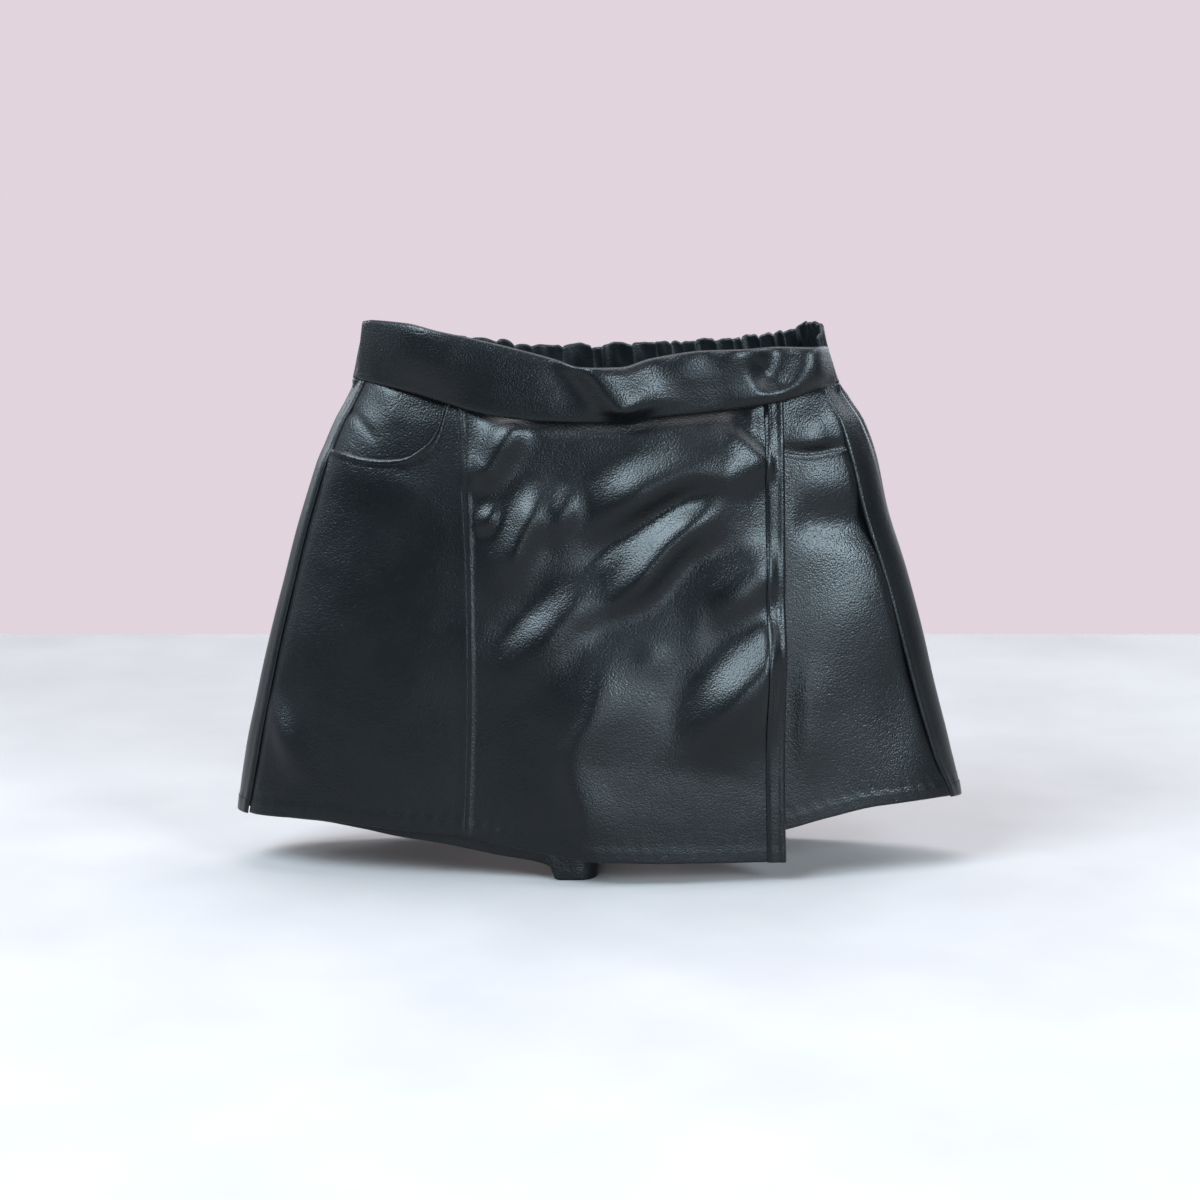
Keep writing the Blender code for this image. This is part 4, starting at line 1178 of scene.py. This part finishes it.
# %% Lamps
AIM_HEIGHT = 0.14
WINDOW_BLUE = (0.70, 0.88, 1.0)
LOW_BLUE = (0.72, 0.89, 1.0)
PALE_BLUE = (0.80, 0.90, 1.0)
LAMPS = (
    # name, azimuth with 0 in front, elevation, distance, size, watts, colour
    ("window_left", -47, 45, 1.8, (0.9, 0.75), 57, WINDOW_BLUE),
    ("window_left_low", -62, 31, 1.8, (0.48, 0.5), 15, WINDOW_BLUE),
    ("left_low", -88, 14, 1.7, (0.35, 0.6), 2.5, LOW_BLUE),
    ("window_right", 38, 21, 1.9, (0.66, 0.6), 50, WINDOW_BLUE),
    ("front_right", 14, 1, 1.9, (0.7, 0.3), 8.5, LOW_BLUE),
    ("side_right", 98, 40, 1.8, (0.8, 0.8), 17, PALE_BLUE),
    ("rim_right", 142, 18, 1.8, (0.7, 0.8), 7, PALE_BLUE),
    ("rim_left", -124, 22, 1.8, (0.5, 0.8), 10, PALE_BLUE),
    ("overhead", 180, 82, 1.9, (2, 1.6), 52, (0.94, 0.95, 1)),
)


def lamp(name, azimuth, elevation, distance, size, watts, colour):
    """A soft lamp that looks at the middle of the garment."""
    light = bpy.data.lights.new(name, "AREA")
    light.shape = "RECTANGLE"
    light.size, light.size_y = size
    light.energy = watts
    light.color = colour
    turn, rise = math.radians(azimuth), math.radians(elevation)
    away = (math.sin(turn) * math.cos(rise), -math.cos(turn) * math.cos(rise), math.sin(rise))
    made = put(name, light)
    made.location = [distance * step for step in away]
    made.location.z += AIM_HEIGHT
    made.rotation_euler = (math.pi / 2 - rise, 0.0, turn)


for row in LAMPS:
    lamp(*row)
print(len(LAMPS), "lamps")

# %% World
PALE_WALL = (0.76, 0.66, 0.72)


def make_world():
    """Pale where the camera sees it. As a light, it is pale behind the garment, dim in front."""
    world = bpy.data.worlds.new("studio")
    bpy.context.scene.world = world
    world.use_nodes = True
    tree = world.node_tree
    new, join = tree.nodes.new, tree.links.new
    seen = tree.nodes["Background"]
    seen.inputs["Color"].default_value = (*PALE_WALL, 1.0)
    shine = new("ShaderNodeBackground")
    place = new("ShaderNodeTexCoord")
    parts = new("ShaderNodeSeparateXYZ")
    depth = new("ShaderNodeMapRange")
    depth.interpolation_type = "SMOOTHSTEP"
    for name, value in (("From Min", -0.2), ("From Max", 0.8), ("To Min", 0.075), ("To Max", 0.6)):
        depth.inputs[name].default_value = value
    join(place.outputs["Generated"], parts.inputs["Vector"])
    join(parts.outputs["Y"], depth.inputs["Value"])
    join(depth.outputs["Result"], shine.inputs["Strength"])
    shine.inputs["Color"].default_value = (0.90, 0.93, 1.0, 1.0)
    ray = new("ShaderNodeLightPath")
    choose = new("ShaderNodeMixShader")
    join(ray.outputs["Is Camera Ray"], choose.inputs[0])
    join(shine.outputs["Background"], choose.inputs[1])
    join(seen.outputs["Background"], choose.inputs[2])
    join(choose.outputs["Shader"], tree.nodes["World Output"].inputs["Surface"])


make_world()
bpy.context.scene.view_settings.view_transform = "Standard"
